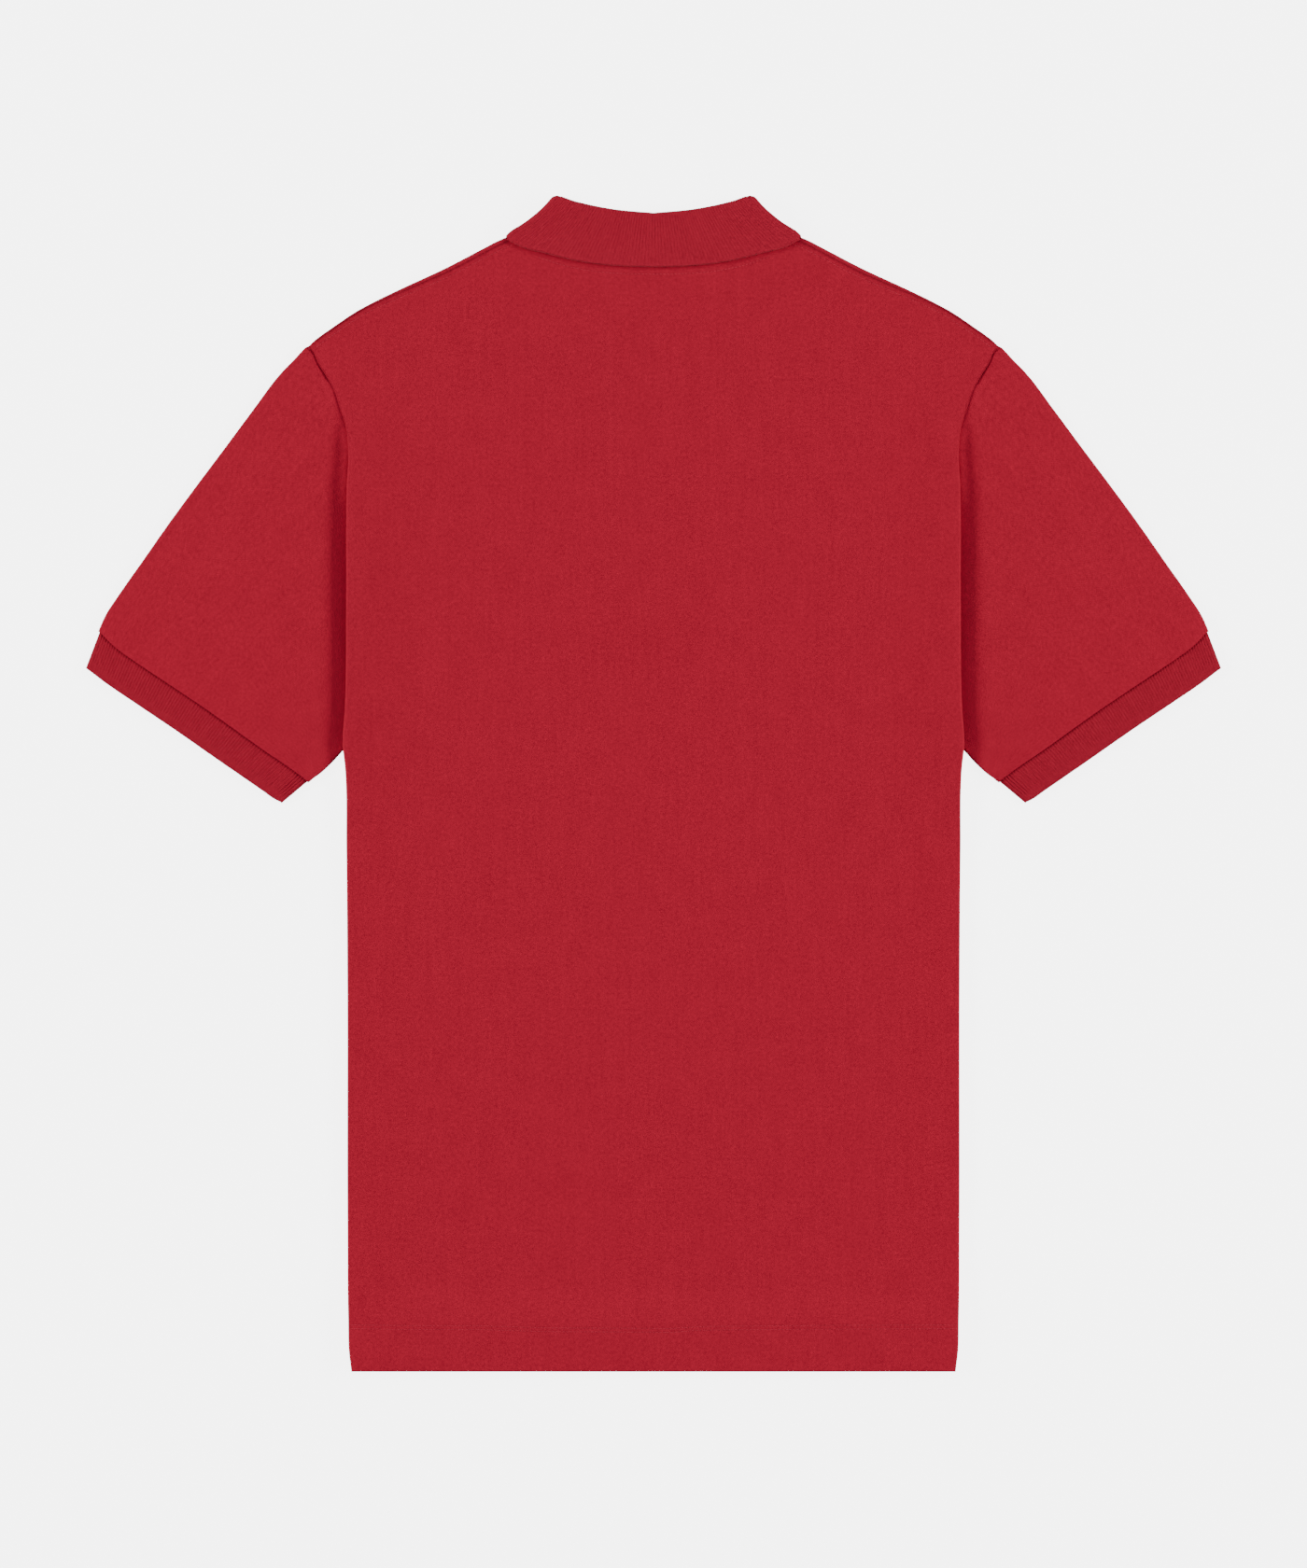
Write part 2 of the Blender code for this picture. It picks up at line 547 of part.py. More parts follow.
def cuff(name, sign, material):
    length = np.linalg.norm(np.diff(CUFF_SEAM, axis=0), axis=1).sum()
    fine = 2 * round(length / RIB_PITCH) + 1
    half = CUFF_RIB / 2
    depth = CUFF_DEPTHS
    rows = [
        cuff_ring(depth["seam"], half, CUFF_COARSE, sign),
        cuff_ring(depth["rib_start"], half, fine, sign, RIB_HEIGHT),
        cuff_ring(depth["rib_end"], half, fine, sign, RIB_HEIGHT),
        cuff_ring(depth["border"], half, CUFF_COARSE, sign),
        cuff_ring(1.0, half, CUFF_COARSE, sign),
        cuff_ring(1.0, -half, CUFF_COARSE, sign),
        cuff_ring(depth["seam"], -half, CUFF_COARSE, sign),
    ]
    return band(name, rows, True, material)


# ---------------------------------------------------------------- collar
COLLAR_PLACES = {"left": 0.3, "back": 0.36}  # along the band: left turn and back start, mirrored on the right
SIDE_OUT = np.array([-0.63, 0.777])  # the left side fold's outward direction


def collar_line(place):
    """Where the band's fold, leaf edge and seam lie at a place along it, its outward direction and its bow."""
    if place > 0.5:
        fold, edge, seam, out, bow = collar_line(1 - place)
        flip = np.array([-1, 1, 1])
        return fold * flip[:2], edge * flip[:2], seam * flip[:2], out * flip, bow * flip[:2]
    left, back = COLLAR_PLACES["left"], COLLAR_PLACES["back"]
    side_bow = -SIDE_OUT * LEAF_BOW
    if place >= back:
        share = (place - back) / (0.5 - back)
        tables, neck, out = (FOLD_BACK, LEAF_BACK), NECK_BACK, np.array([0, 0, 1.0])
    elif place <= left:
        share = 1 - place / left
        tables, neck, out = (FOLD_FRONT, LEAF_FRONT), NECK_FRONT, np.array([0, 0, -1.0])
    else:
        share, tables, neck = 0.0, (FOLD_BACK, LEAF_BACK), NECK_BACK
        angle = math.pi * (place - left) / (back - left) - math.pi / 2
        out = np.array([*(SIDE_OUT * math.cos(angle)), math.sin(angle)])
    fold, edge = (curve(mirrored(table), [share])[0] for table in tables)
    knots = mirrored(neck)
    at = np.linspace(0, 1, len(knots))
    seam = np.array([np.interp(share, at, knots[:, 0]), np.interp(share, at, knots[:, 1])])
    if place <= left:
        seam[0] = min(seam[0], -FOLD_FRONT[-1][0])
    return fold, edge, seam, out, side_bow * max(0.0, 1 - 2 * share) ** 2


def collar_row(places, part, depth, skin, ribs=0.0):
    """Points along the band at one place of its section. skin is how far they lie from the wall's middle,
    outwards of the fold."""
    points = []
    for n, place in enumerate(places):
        fold, edge, seam, out, bow = collar_line(place)
        length = np.linalg.norm(edge - fold)
        down = (edge - fold) / length
        margin = FOLD_RADIUS + RIB / 2
        if part == "stand":
            away = STAND_OUT - skin
            flat = (1 - depth) * (fold + down * margin) + depth * seam
            points.append(np.array([*flat, COLLAR_MID]) + out * away)
            continue
        if part == "fold":
            angle = math.radians(depth)
            along = margin - (FOLD_RADIUS + skin) * math.cos(angle)
            away = (STAND_OUT + LEAF_OUT) / 2 + (FOLD_RADIUS + skin) * math.sin(angle)
        else:
            border = (length - margin - RIB_BORDER) / (length - margin)
            depth_here = border if depth == "border" else depth
            along, away = margin + (length - margin) * depth_here, LEAF_OUT + skin
        ribbed = abs(place - 0.5) < 0.499 - COLLAR_PLACES["back"]
        away += (ribs / 2 if n % 2 else -ribs / 2) if ribbed else 0.0
        share = along / length
        flat = fold + down * along + bow * 4 * share * (1 - share)
        points.append(np.array([*flat, COLLAR_MID]) + out * away)
    return places, points


def collar_places(count):
    """Places along the whole band, with this many on its back."""
    left, back = COLLAR_PLACES["left"], COLLAR_PLACES["back"]
    front = [*np.linspace(0, left, 8), *np.linspace(left, back, 7)[1:-1]]
    return [*front, *np.linspace(back, 1 - back, count), *(1 - place for place in reversed(front))]


def collar(material):
    edges = [np.linalg.norm(np.diff(table, axis=0), axis=1).sum() for table in (FOLD_BACK, LEAF_BACK)]
    coarse, fine = collar_places(17), collar_places(2 * round(sum(edges) / RIB_PITCH) + 1)
    outer, inner = RIB / 2, -RIB / 2
    section = [("stand", 1.0), ("stand", 0.45), ("stand", 0.0), ("fold", -45), ("fold", 0), ("fold", 45)]
    leaf = [0.04, 0.5, "border"]
    rows = [collar_row(coarse, part, depth, outer) for part, depth in section]
    rows += [collar_row(fine, "leaf", depth, outer, RIB_HEIGHT) for depth in leaf]
    rows += [collar_row(coarse, "leaf", 1.0, outer)]
    rows += [collar_row(coarse, "leaf", depth, inner) for depth in [1.0, *leaf[::-1]]]
    rows += [collar_row(coarse, part, depth, inner) for part, depth in section[::-1]]
    return band("collar", rows, False, material)


# ---------------------------------------------------------------- placket and buttons
def placket(name, level, material):
    """A strap that lies in the front panel's slot, its head against the collar's stand."""
    foot = PLACKET_FOOT + 2 * GAP
    across = np.linspace(-PLACKET_WIDTH / 2, PLACKET_WIDTH / 2, 5)
    (out, up), (_, middle_up) = NECK_FRONT[-2:]
    head = middle_up - 1.5 * GAP + (up - middle_up) * np.abs(across) / out
    share = np.linspace(0, 1, 15)[:, None]
    x, y = across + 0 * share, foot + (head - foot) * share
    top_rise = NECK_FRONT_RISE * smooth((y - PLACKET_TOP + PLACKET_RAMP) / (PLACKET_RAMP + 1))
    z = LEVEL[level] + level * PLACKET_SLACK + np.maximum(button_lift(x, y), top_rise)
    return wall(name, np.stack([x, y, z], axis=2), PIQUE, material)


def button(name, drop, material):
    """A turned button, its dished face down on the surface."""
    rim, dish, face = 0.8, 0.35, 1.6
    profile = [  # out, up
        (0.0, dish), (BUTTON_RADIUS - face, dish), (BUTTON_RADIUS - rim, 0.0), (BUTTON_RADIUS - 0.25, 0.12),
        (BUTTON_RADIUS, 0.6), (BUTTON_RADIUS - 0.4, BUTTON_THICKNESS), (0.0, BUTTON_THICKNESS),
    ]  # fmt: skip
    steps = 20
    turns = np.arange(steps) * 2 * math.pi / steps
    centre_y = PLACKET_TOP - drop
    points = [(0.0, centre_y, dish)]
    points += [(r * math.cos(a), centre_y + r * math.sin(a), z) for r, z in profile[1:-1] for a in turns]
    points.append((0.0, centre_y, BUTTON_THICKNESS))
    faces = []
    for n in range(steps):
        k = (n + 1) % steps
        faces.append([0, 1 + k, 1 + n])
        for ring in range(len(profile) - 3):
            a = 1 + ring * steps
            faces.append([a + n, a + k, a + steps + k, a + steps + n])
        last = 1 + (len(profile) - 3) * steps
        faces.append([last + n, last + k, len(points) - 1])
    return add_object(name, points, faces, material)


# ---------------------------------------------------------------- build
def cloth_material(name):
    made = bpy.data.materials.new(name)
    made.use_nodes = True
    shader = made.node_tree.nodes["Principled BSDF"]
    shader.inputs["Base Color"].default_value = (*COLOURS[name], 1)
    shader.inputs["Roughness"].default_value = ROUGHNESS[name]
    shader.inputs["Metallic"].default_value = 0.0
    return made


def main():
    for old in list(bpy.context.scene.objects):
        bpy.data.objects.remove(old)
    materials = {name: cloth_material(name) for name in COLOURS}
    back_panel(materials["pique"])
    front_panel(materials["pique"])
    for side, sign in (("left", 1), ("right", -1)):
        sleeve(f"sleeve_{side}", sign, materials["pique"])
        cuff(f"cuff_{side}", sign, materials["rib"])
    collar(materials["rib"])
    placket("placket_over", 0, materials["pique"])
    placket("placket_under", 1, materials["pique"])
    for number, drop in enumerate(BUTTON_DROPS, 1):
        button(f"button_{number}", drop, materials["button"])


main()
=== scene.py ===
"""Looks of a polo shirt that lies flat with its back up: knit cloth, ribbed collar and cuffs, seams and stitches.

The file is laid out as a Blender add-on and is run as a script. Left and right are as seen from above, X runs
across the shirt, Y from the hem up to the collar, and Z up from the surface that it lies on. Sizes are in
millimetres and become metres when a mesh is made.
"""

import math

import bmesh
import bpy
import numpy as np
from bpy.props import FloatProperty, FloatVectorProperty, PointerProperty
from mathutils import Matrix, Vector
from mathutils.bvhtree import BVHTree


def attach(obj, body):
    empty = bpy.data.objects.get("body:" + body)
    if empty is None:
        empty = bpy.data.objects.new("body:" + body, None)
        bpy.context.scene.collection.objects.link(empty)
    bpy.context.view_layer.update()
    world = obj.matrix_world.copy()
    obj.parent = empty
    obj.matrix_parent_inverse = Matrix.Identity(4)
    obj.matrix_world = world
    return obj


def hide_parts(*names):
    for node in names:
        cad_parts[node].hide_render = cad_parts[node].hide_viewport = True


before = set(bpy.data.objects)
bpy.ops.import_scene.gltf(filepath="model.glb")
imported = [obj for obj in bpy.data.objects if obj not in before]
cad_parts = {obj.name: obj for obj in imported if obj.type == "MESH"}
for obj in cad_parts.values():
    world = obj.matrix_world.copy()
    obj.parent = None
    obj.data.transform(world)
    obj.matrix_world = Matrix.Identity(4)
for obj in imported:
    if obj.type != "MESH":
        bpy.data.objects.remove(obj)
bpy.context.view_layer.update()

bl_info = {
    "name": "Polo Shirt Looks",
    "version": (1, 0, 0),
    "blender": (4, 5, 0),
    "location": "3D Viewport > Sidebar > Polo Shirt",
    "description": "Makes the cloth, seams and stitches of a polo shirt laid flat",
    "category": "Object",
}

METRE = 0.001

# Cloth
PIQUE = 1.0  # thickness of the knit of body and sleeves
RIB = 1.4  # thickness of the collar
CUFF_RIB = 1.1  # thickness of the cuffs
GAP = 0.3  # between pieces, and between layers that lie on each other
LAYER = PIQUE + GAP  # from one layer's middle to the next one's
LEVEL = [PIQUE / 2 + LAYER * n for n in range(4)]  # mid heights of stacked layers
EDGE_INSET = LAYER / 2 + PIQUE / 2  # from a fold's outside in to where the cloth starts to turn
CELL = 4.0  # spacing of the cloth's mesh
FINE_CELL = 0.6  # the same along a line of stitches
EDGE_ROUNDING = 0.3  # of cut edges
FULLNESS = 0.3  # of the body's sides, past the outline
TURN_STEPS = 8  # over a rolled edge or round a tube's side
FOLD_ANGLE = 75  # degrees of a sharp fold's first and last rows, either way from its middle
RIB_POINTS = 4  # of the mesh, to each rib
RIB_ROUNDNESS = 0.7  # of its section: 1 is a sine, and less makes it broader
CURVE_POINTS = 1500  # that stand for a curve where its heights are looked up

# Overall
LENGTH = 754.8  # collar corners to hem
HEM_Y = -LENGTH / 2
HEM_DEPTH = 27.6  # of the cloth turned up inside
HEM_RAMP, HEM_RAMP_END = 28.0, 2.0  # the back's slope up on to the hem: its length and its distance
# How far the back's rolled side stops short of the hem's fold, and the fold goes on under the roll's corner
HEM_CORNER = {"short": 0.1, "under": 0.9}

# Outline of the left half, each row a point: distance out from the middle, and height up the shirt
SHOULDER = [  # out, up: from under the collar to the shoulder point
    (84.0, 353.8), (97.0, 349.4), (108.3, 343.7), (121.6, 336.7), (135.9, 329.5), (149.0, 323.6),
    (174.9, 311.6), (190.9, 303.2), (205.1, 293.6), (218.3, 284.0), (221.8, 280.6),
]  # fmt: skip
ARMHOLE = [  # out, up: from the underarm to the shoulder point
    (199.0, 24.0), (197.6, 49.8), (196.8, 119.4), (196.5, 189.6), (195.6, 215.4), (197.7, 231.6),
    (200.4, 239.4), (203.4, 248.4), (206.4, 255.6), (210.6, 262.8), (215.6, 271.0), (217.8, 276.4),
    (221.8, 280.6),
]  # fmt: skip
SIDE = [  # out, up: from the hem to the underarm
    (193.4, HEM_Y), (194.9, -366.6), (195.6, -342.6), (196.1, -282.6), (196.2, -132.6), (196.8, -42.6),
    (197.7, 11.4),
]  # fmt: skip
SLEEVE_TOP = [  # out, up: the outer fold from the shoulder point to the cuff
    (220.4, 281.6), (222.8, 280.2), (227.4, 275.6), (239.1, 263.8), (257.4, 239.7), (275.2, 215.7), (293.2, 191.7),
    (310.9, 167.6), (327.8, 143.4), (344.5, 119.4), (351.9, 107.4), (356.2, 97.5),
]  # fmt: skip
UNDERARM = [  # out, up: from the armhole to the cuff
    (196.0, 24.4), (199.6, 20.9), (206.4, 13.5), (213.6, 6.8), (222.0, 0.9),
]  # fmt: skip
CUFF_SEAM = [  # out, up: from the outer fold to the underarm
    (355.5, 97.8), (346.8, 88.8), (328.8, 75.6), (309.0, 62.4), (285.9, 46.8), (251.4, 22.2), (226.6, 5.0),
    (222.0, 1.4),
]  # fmt: skip
CUFF_EDGE = [  # out, up: from the outer fold to the underarm
    (364.4, 74.2), (350.4, 63.6), (336.0, 53.8), (307.2, 34.4), (278.4, 14.3), (249.6, -5.6), (243.5, -9.9),
    (238.6, -12.3),
]  # fmt: skip

# Neck: seams, folds and free edges, each row out and up from a side to the middle. The collar is a band that is
# folded into a stand and a leaf.
NECK_BACK = [(83.6, 354.0), (70.0, 346.0), (48.0, 340.0), (24.0, 337.0), (0.0, 336.2)]
NECK_FRONT = [(83.6, 354.0), (77.0, 322.0), (52.0, 288.0), (16.3, 269.6), (0.0, 268.0)]
FOLD_BACK = [(60.6, 376.7), (58.6, 376.5), (55.8, 375.5), (51.6, 374.0), (46.2, 372.6), (25.8, 368.6), (0.0, 366.1)]
LEAF_BACK = [(93.6, 348.5), (85.8, 344.4), (67.8, 339.6), (51.6, 335.6), (24.0, 332.0), (0.0, 331.2)]
FOLD_FRONT = [(60.6, 376.7), (62.0, 345.0), (44.0, 312.0), (20.0, 298.0), (2.5, 295.0)]
LEAF_FRONT = [(93.6, 348.5), (88.0, 318.0), (68.0, 276.0), (50.0, 246.0), (40.0, 232.0)]
LEAF_BOW = [  # share of the way down the leaf's side fold, and how far it bends in there
    (0.0, 0.0), (0.05, 0.2), (0.1, 0.5), (0.22, 1.3), (0.38, 1.8), (0.56, 1.6), (0.65, 1.3), (0.76, 0.56),
    (0.87, -0.27), (0.96, -0.4), (1.0, -0.2),
]  # fmt: skip
BOW_REACH = 0.05  # over which the bow's corners are rounded, as a share of the way down
# The turn gets narrower at its corners: how far from the fold, and what is left of it there. The leaf's edge
# counts as this far from a fold, and the cloth above it as so many times farther up.
TURN_ROUNDING = {"reach": 4.0, "least": 0.3, "lower_start": 0.8, "lower_rate": 2}
STAND_RUN = 60.0  # from fold to seam, as the turn's width counts it
RIB_BORDER = 3.0  # plain knit along the leaf's free edge
BORDER_RIBS = {"collar": 0.6, "cuff": 0.35}  # how strongly the ribs still show on the plain borders
LEAF_DROOP = {"drop": 0.35, "reach": 7.0}  # of the leaf's free edge
SIDE_OUT = np.array([-0.63, 0.777])  # the left side fold's outward direction

# How the back panel's side rolls over, from hem to shoulder point. Its columns are the height up the shirt, the
# mid height of the rolled cloth, the roll's radius, its turn in degrees, and the straight cloth past it.
ROLL_COLUMNS = ("up", "top", "radius", "turn", "lip")
ROLL = [
    (HEM_Y, 4.4, 0.75, 90, 2.25),
    (-345.0, 4.4, 0.75, 90, 2.25),
    (-300.0, 2.9, 0.75, 90, 0.75),
    (-60.0, 2.9, 0.75, 90, 0.75),
    (-25.0, 3.4, 0.8, 105, 0.9),
    (5.0, 4.7, 1.0, 150, 1.5),
    (20.0, 5.6, 1.2, 180, 5.0),
    (35.0, 6.0, 1.4, 180, 9.0),
    (60.0, 6.2, 1.5, 180, 11.0),
    (150.0, 6.2, 1.5, 180, 11.0),
    (190.0, 5.9, 1.35, 180, 8.0),
    (208.0, 5.4, 1.1, 180, 4.0),
    (220.0, 4.8, 0.8, 150, 0.8),
    (234.0, 3.7, 0.65, 95, 0.2),
    (250.0, 3.3, 0.6, 75, 0.1),
    (279.0, 3.1, 0.6, 60, 0.1),
]
ROLL_REACH = 48.0  # how far in from the side the roll lifts the back
# Painted shade beside the rolled side, on the sleeve next to it and on the roll's own outer turn: how far out from
# the side, how far up, how it fades there and at its foot, its strength on the sleeve and on the roll, and over how
# many of the roll's cells it starts
ROLL_SHADE = {"reach": 5.5, "up": 130.0, "fade": 70.0, "foot": 4.0, "sleeve": 0.5, "roll": 0.9, "cells": 3}
TUCK = [  # up, under: how far the sleeve's upper layer goes in under the back's rolled edge
    (24.0, -0.1), (32.0, 1.5), (45.0, 7.0), (60.0, 10.0), (150.0, 10.0), (185.0, 7.0), (200.0, 2.0),
    (212.0, 0.0), (279.0, 0.0),
]  # fmt: skip
SHOULDER_LIP = [(85.0, 1.7), (135.0, 1.6), (165.0, 0.8), (180.0, 0.2), (222.0, 0.1)]  # out, lip
SEAM_STAGGER = 2.4  # of the lower layers' seams from the upper ones', towards the sleeve and the cuff
STAGGER_FADE = {"start": 2.0, "low": 12.0, "high": 8.0}  # at the armhole's two ends
SEAM_INSET = EDGE_INSET + 0.1  # of the back's shoulder edge from the outline, less the front's lip

# Placket and buttons, face down under the front panel's opening
PLACKET_WIDTH, PLACKET_LENGTH = 32.0, 150.0
PLACKET_TOP = 266.0
PLACKET_FOOT = PLACKET_TOP - PLACKET_LENGTH
PLACKET_RAMP = 30.0  # over which its top rises to the collar's stand
PLACKET_SLACK = 0.15  # between its two straps, past the usual gap
BUTTON_RADIUS, BUTTON_THICKNESS = 5.7, 1.5
BUTTON_DROPS = [16.0, 88.0]  # from the placket's top
BUTTON_LIFT = BUTTON_THICKNESS + GAP
BUTTON_HOLES = {"radius": 0.75, "out": 1.25, "drill": 4.0}  # each out both across and up, with the drill's length
BUTTON_THREAD = {"reach": 1.3, "height": 0.3, "points": 6}  # half its length, and how high it lies in the dish
BUTTONHOLE = {"length": 15.0, "side": 0.75, "step": 0.5}  # its stitches' ends, and their distance from its slit
# The strap's topstitching: in from its sides and foot, past its head, and the height of the box at its foot
TOPSTITCH = {"side": 2.0, "foot": 2.5, "head": 1.0, "box": 24.0, "step": 2.0}

# How other layers lift the cloth that lies over them
NECK_COVER = {"middle": 315.0, "across": 108.0, "up": 95.0, "roundness": 3, "fade": 0.7}
BUTTON_COVER = {"flat": 9.0, "fade": 22.0}
PLACKET_COVER = {"flat": PLACKET_WIDTH / 2 + 6, "side_fade": 55.0, "end_fade": 40.0, "past_foot": 45.0}
STAND_OUT = GAP / 2 + RIB / 2  # the stand's mid surface from the collar's middle
LEAF_OUT = STAND_OUT + RIB + GAP
COLLAR_MID = LEAF_OUT + RIB / 2  # height of the collar's middle
FOLD_RADIUS = (LEAF_OUT - STAND_OUT) / 2
NECK_FRONT_RISE = COLLAR_MID - STAND_OUT - LEVEL[0]
NECK_BACK_RISE = COLLAR_MID + STAND_OUT - LEVEL[1]
PLACKET_RISE = LEVEL[2] + BUTTON_LIFT + 2 * PLACKET_SLACK - LEVEL[1]  # of the back, bridging the buttons

# Soft creases of the panels, each given as middle across and up, direction in degrees, length, width and height.
# A trough has a height below 0. The front rests on the surface, so its creases only rise from it.
BACK_CREASES = [
    (-187.0, -338.0, 62, 44, 3.5, -0.35), (-176.0, -300.0, 100, 120, 7.0, 0.3), (172.0, -290.0, 84, 150, 8.0, 0.3),
    (-150.0, -60.0, 78, 160, 10.0, -0.35), (158.0, -20.0, 104, 140, 9.0, -0.3), (-120.0, -190.0, 95, 210, 12.0, 0.3),
    (96.0, -160.0, 84, 240, 13.0, -0.3), (36.0, 60.0, 92, 260, 14.0, 0.3), (-60.0, 90.0, 88, 180, 11.0, -0.25),
    (150.0, 190.0, 70, 90, 8.0, 0.3), (-140.0, 215.0, 112, 100, 8.0, 0.3), (4.0, -300.0, 96, 90, 7.0, 0.25),
]  # fmt: skip
FRONT_CREASES = [
    (-150.0, -250.0, 82, 150, 9.0, 0.2), (140.0, -210.0, 98, 180, 10.0, 0.2), (-70.0, -120.0, 90, 200, 11.0, 0.18),
    (90.0, 20.0, 86, 220, 12.0, 0.2), (-130.0, 110.0, 100, 160, 9.0, 0.2), (60.0, -300.0, 80, 80, 6.0, 0.18),
]  # fmt: skip

# Stitch lines, each row across and up, as seen from above
HEM_LINE = [  # the middle of the hem's two rows
    (-196.0, -348.5), (-156.0, -348.9), (-113.0, -349.0), (-66.0, -350.4), (0.0, -350.6), (9.0, -351.0),
    (30.0, -349.4), (120.0, -348.7), (196.0, -348.5),
]  # fmt: skip
HEM_ROWS_APART = 2.4
HEM_STITCH_END = 193.5  # out from the middle
HEM_FURROW = {"depth": 0.07, "width": 0.75}  # that the hem's stitches pull into the cloth
SEAM_FURROW = {"depth": 0.25, "width": 0.8}  # the same at the neck and shoulders
SEAM_REACH = 3.0  # from a line of stitches, out to where the seam attribute ends
STITCH_REACH = 8.0  # from a seam, out to where the cloth takes its places from it
JOIN_SHADE = 1.4  # how far from the shoulder's join the cloth is painted darker, as painted shade at the seam
NEEDLE_HOLE = {"across": 0.55, "fall": 0.37}  # half width, and how much of a hole's depth is left there
NECK_STITCH = [  # out, up: under the collar's leaf, from a side to the middle
    (73.0, 337.4), (58.0, 332.6), (40.0, 328.9), (20.0, 327.2), (0.0, 326.8),
]  # fmt: skip
SHOULDER_STITCH = {"inset": 4.2, "from": 0.06, "to": 0.97}  # from the outline, and its ends along the shoulder
STITCH_POINTS = {"neck": 120, "shoulder": 200}  # along half the neck's line, and along each shoulder's

# Stage, with its lengths in millimetres and the softboxes' in metres
LENS_MM, SENSOR_MM = 100.0, 36.0
VIEW_LENGTH, VIEW_MIDDLE = 1006.4, -0.27  # of the surface from bottom to top of the picture, and its middle
PAPER_HALF, PAPER_GLOW, PAPER_DROP = 60e3, 5.0, 0.1  # half its side, its emission, and how far down it lies
WORLD_STRENGTH = 0.2
SOFTBOX = {"distance": 5.0, "elevation": 16.5, "height": 0.88, "length": 4.0, "watts": 387.0, "up_shirt": 0.45}


# ---------------------------------------------------------------- sizes along tables
def smooth(x):
    """From 0 at 0 to 1 at 1, level at both."""
    x = np.clip(x, 0.0, 1.0)
    return x * x * (3 - 2 * x)


def eased(table, at, reach=6.0):
    """A table's second column along its first, with the corners rounded over this reach."""
    across, values = zip(*table)
    at = np.asarray(at, float)
    return np.mean([np.interp(at + step, across, values) for step in np.linspace(-reach, reach, 9)], axis=0)


def roll_at(up):
    """The sizes of the back's roll at these heights, by their columns' names."""
    columns = enumerate(ROLL_COLUMNS[1:], 1)
    return {name: eased([(row[0], row[n]) for row in ROLL], up) for n, name in columns}


def curve(points, fractions):
    """Points at these fractions of the length of a smooth curve through the given ones."""
    points = np.asarray(points, float)
    knots = np.concatenate([[0], np.cumsum(np.linalg.norm(np.diff(points, axis=0), axis=1))])
    slopes = np.gradient(points, knots, axis=0)
    at = np.asarray(fractions, float) * knots[-1]
    i = np.clip(np.searchsorted(knots, at, side="right") - 1, 0, len(points) - 2)
    span = (knots[i + 1] - knots[i])[:, None]
    t = ((at - knots[i]) / span[:, 0])[:, None]
    start, end = points[i], points[i + 1]
    return (
        start * (1 + 2 * t) * (1 - t) ** 2
        + end * t**2 * (3 - 2 * t)
        + slopes[i] * span * t * (1 - t) ** 2
        - slopes[i + 1] * span * t**2 * (1 - t)
    )


def length_of(points):
    """Length of the line through these points."""
    return float(np.linalg.norm(np.diff(points, axis=0), axis=1).sum())


def sides_of(path):
    """Unit vectors to the left of a path's direction."""
    along = np.gradient(np.asarray(path, float), axis=0)
    along /= np.linalg.norm(along, axis=1)[:, None]
    return np.stack([-along[:, 1], along[:, 0]], axis=1)


def mirrored(points):
    """A left half's (out, up) points as X and Y, on the left of the picture."""
    return np.asarray(points, float) * [-1, 1]


def at_heights(points, heights):
    """Where a rising curve of X and Y passes these heights."""
    fine = curve(points, np.linspace(0, 1, CURVE_POINTS))
    return np.stack([np.interp(heights, fine[:, 1], fine[:, 0]), heights], axis=1)


def patch(bottom, top, left, right, across, up):
    """A grid of points between four edges that meet at their ends, rows from bottom to top. across and up are
    the columns' and rows' places."""
    u, v = np.asarray(across)[None, :, None], np.asarray(up)[:, None, None]
    corners = (
        (1 - u) * (1 - v) * left[0] + u * (1 - v) * right[0] + (1 - u) * v * left[-1] + u * v * right[-1]
    )
    return (1 - v) * bottom[None] + v * top[None] + (1 - u) * left[:, None] + u * right[:, None] - corners


# ---------------------------------------------------------------- heights of the layers
def neck_lift(x, y):
    """1 over the collar's front leaves, falling away round them."""
    middle, across, up, power, fade = NECK_COVER.values()
    distance = ((np.abs(x) / across) ** power + (np.abs(y - middle) / up) ** power) ** (1 / power)
    return 1 - smooth((distance - 1) / fade)


def button_lift(x, y):
    """Height that the buttons give to the cloth that lies on them."""
    flat, fade = BUTTON_COVER.values()
    lift = np.zeros_like(np.asarray(x, float) + y)
    for drop in BUTTON_DROPS:
        distance = np.hypot(x, y - (PLACKET_TOP - drop))
        lift = np.maximum(lift, 1 - smooth((distance - flat) / fade))
    return lift * BUTTON_LIFT


def placket_lift(x, y):
    """1 over the placket, falling away round it."""
    flat, side_fade, end_fade, past_foot = PLACKET_COVER.values()
    side = 1 - smooth((np.abs(x) - flat) / side_fade)
    foot = smooth((y - (PLACKET_FOOT - past_foot)) / end_fade)
    head = 1 - smooth((y - PLACKET_TOP) / end_fade)
    return side * foot * head


def hem_ditch(x, y):
    """Depth of the two furrows that the hem's stitches pull into the cloth."""
    line = eased(HEM_LINE, x)
    depth = 0.0
    for side in (-0.5, 0.5):
        away = (y - line - side * HEM_ROWS_APART) / HEM_FURROW["width"]
        depth = depth + HEM_FURROW["depth"] * np.exp(-(away**2))
    return depth


def furrow(x, y, path):
    """Depth of the furrow that stitches along a path pull into the cloth."""
    apart = np.full(np.shape(x), np.inf)
    for a, b in path:
        apart = np.minimum(apart, (x - a) ** 2 + (y - b) ** 2)
    return SEAM_FURROW["depth"] * np.exp(-apart / SEAM_FURROW["width"] ** 2)


def neck_stitch():
    """The line of stitches under the collar's leaf, from left to right."""
    path = curve(mirrored(NECK_STITCH), np.linspace(0, 1, STITCH_POINTS["neck"]))
    return np.concatenate([path, path[-2::-1] * [-1, 1]])


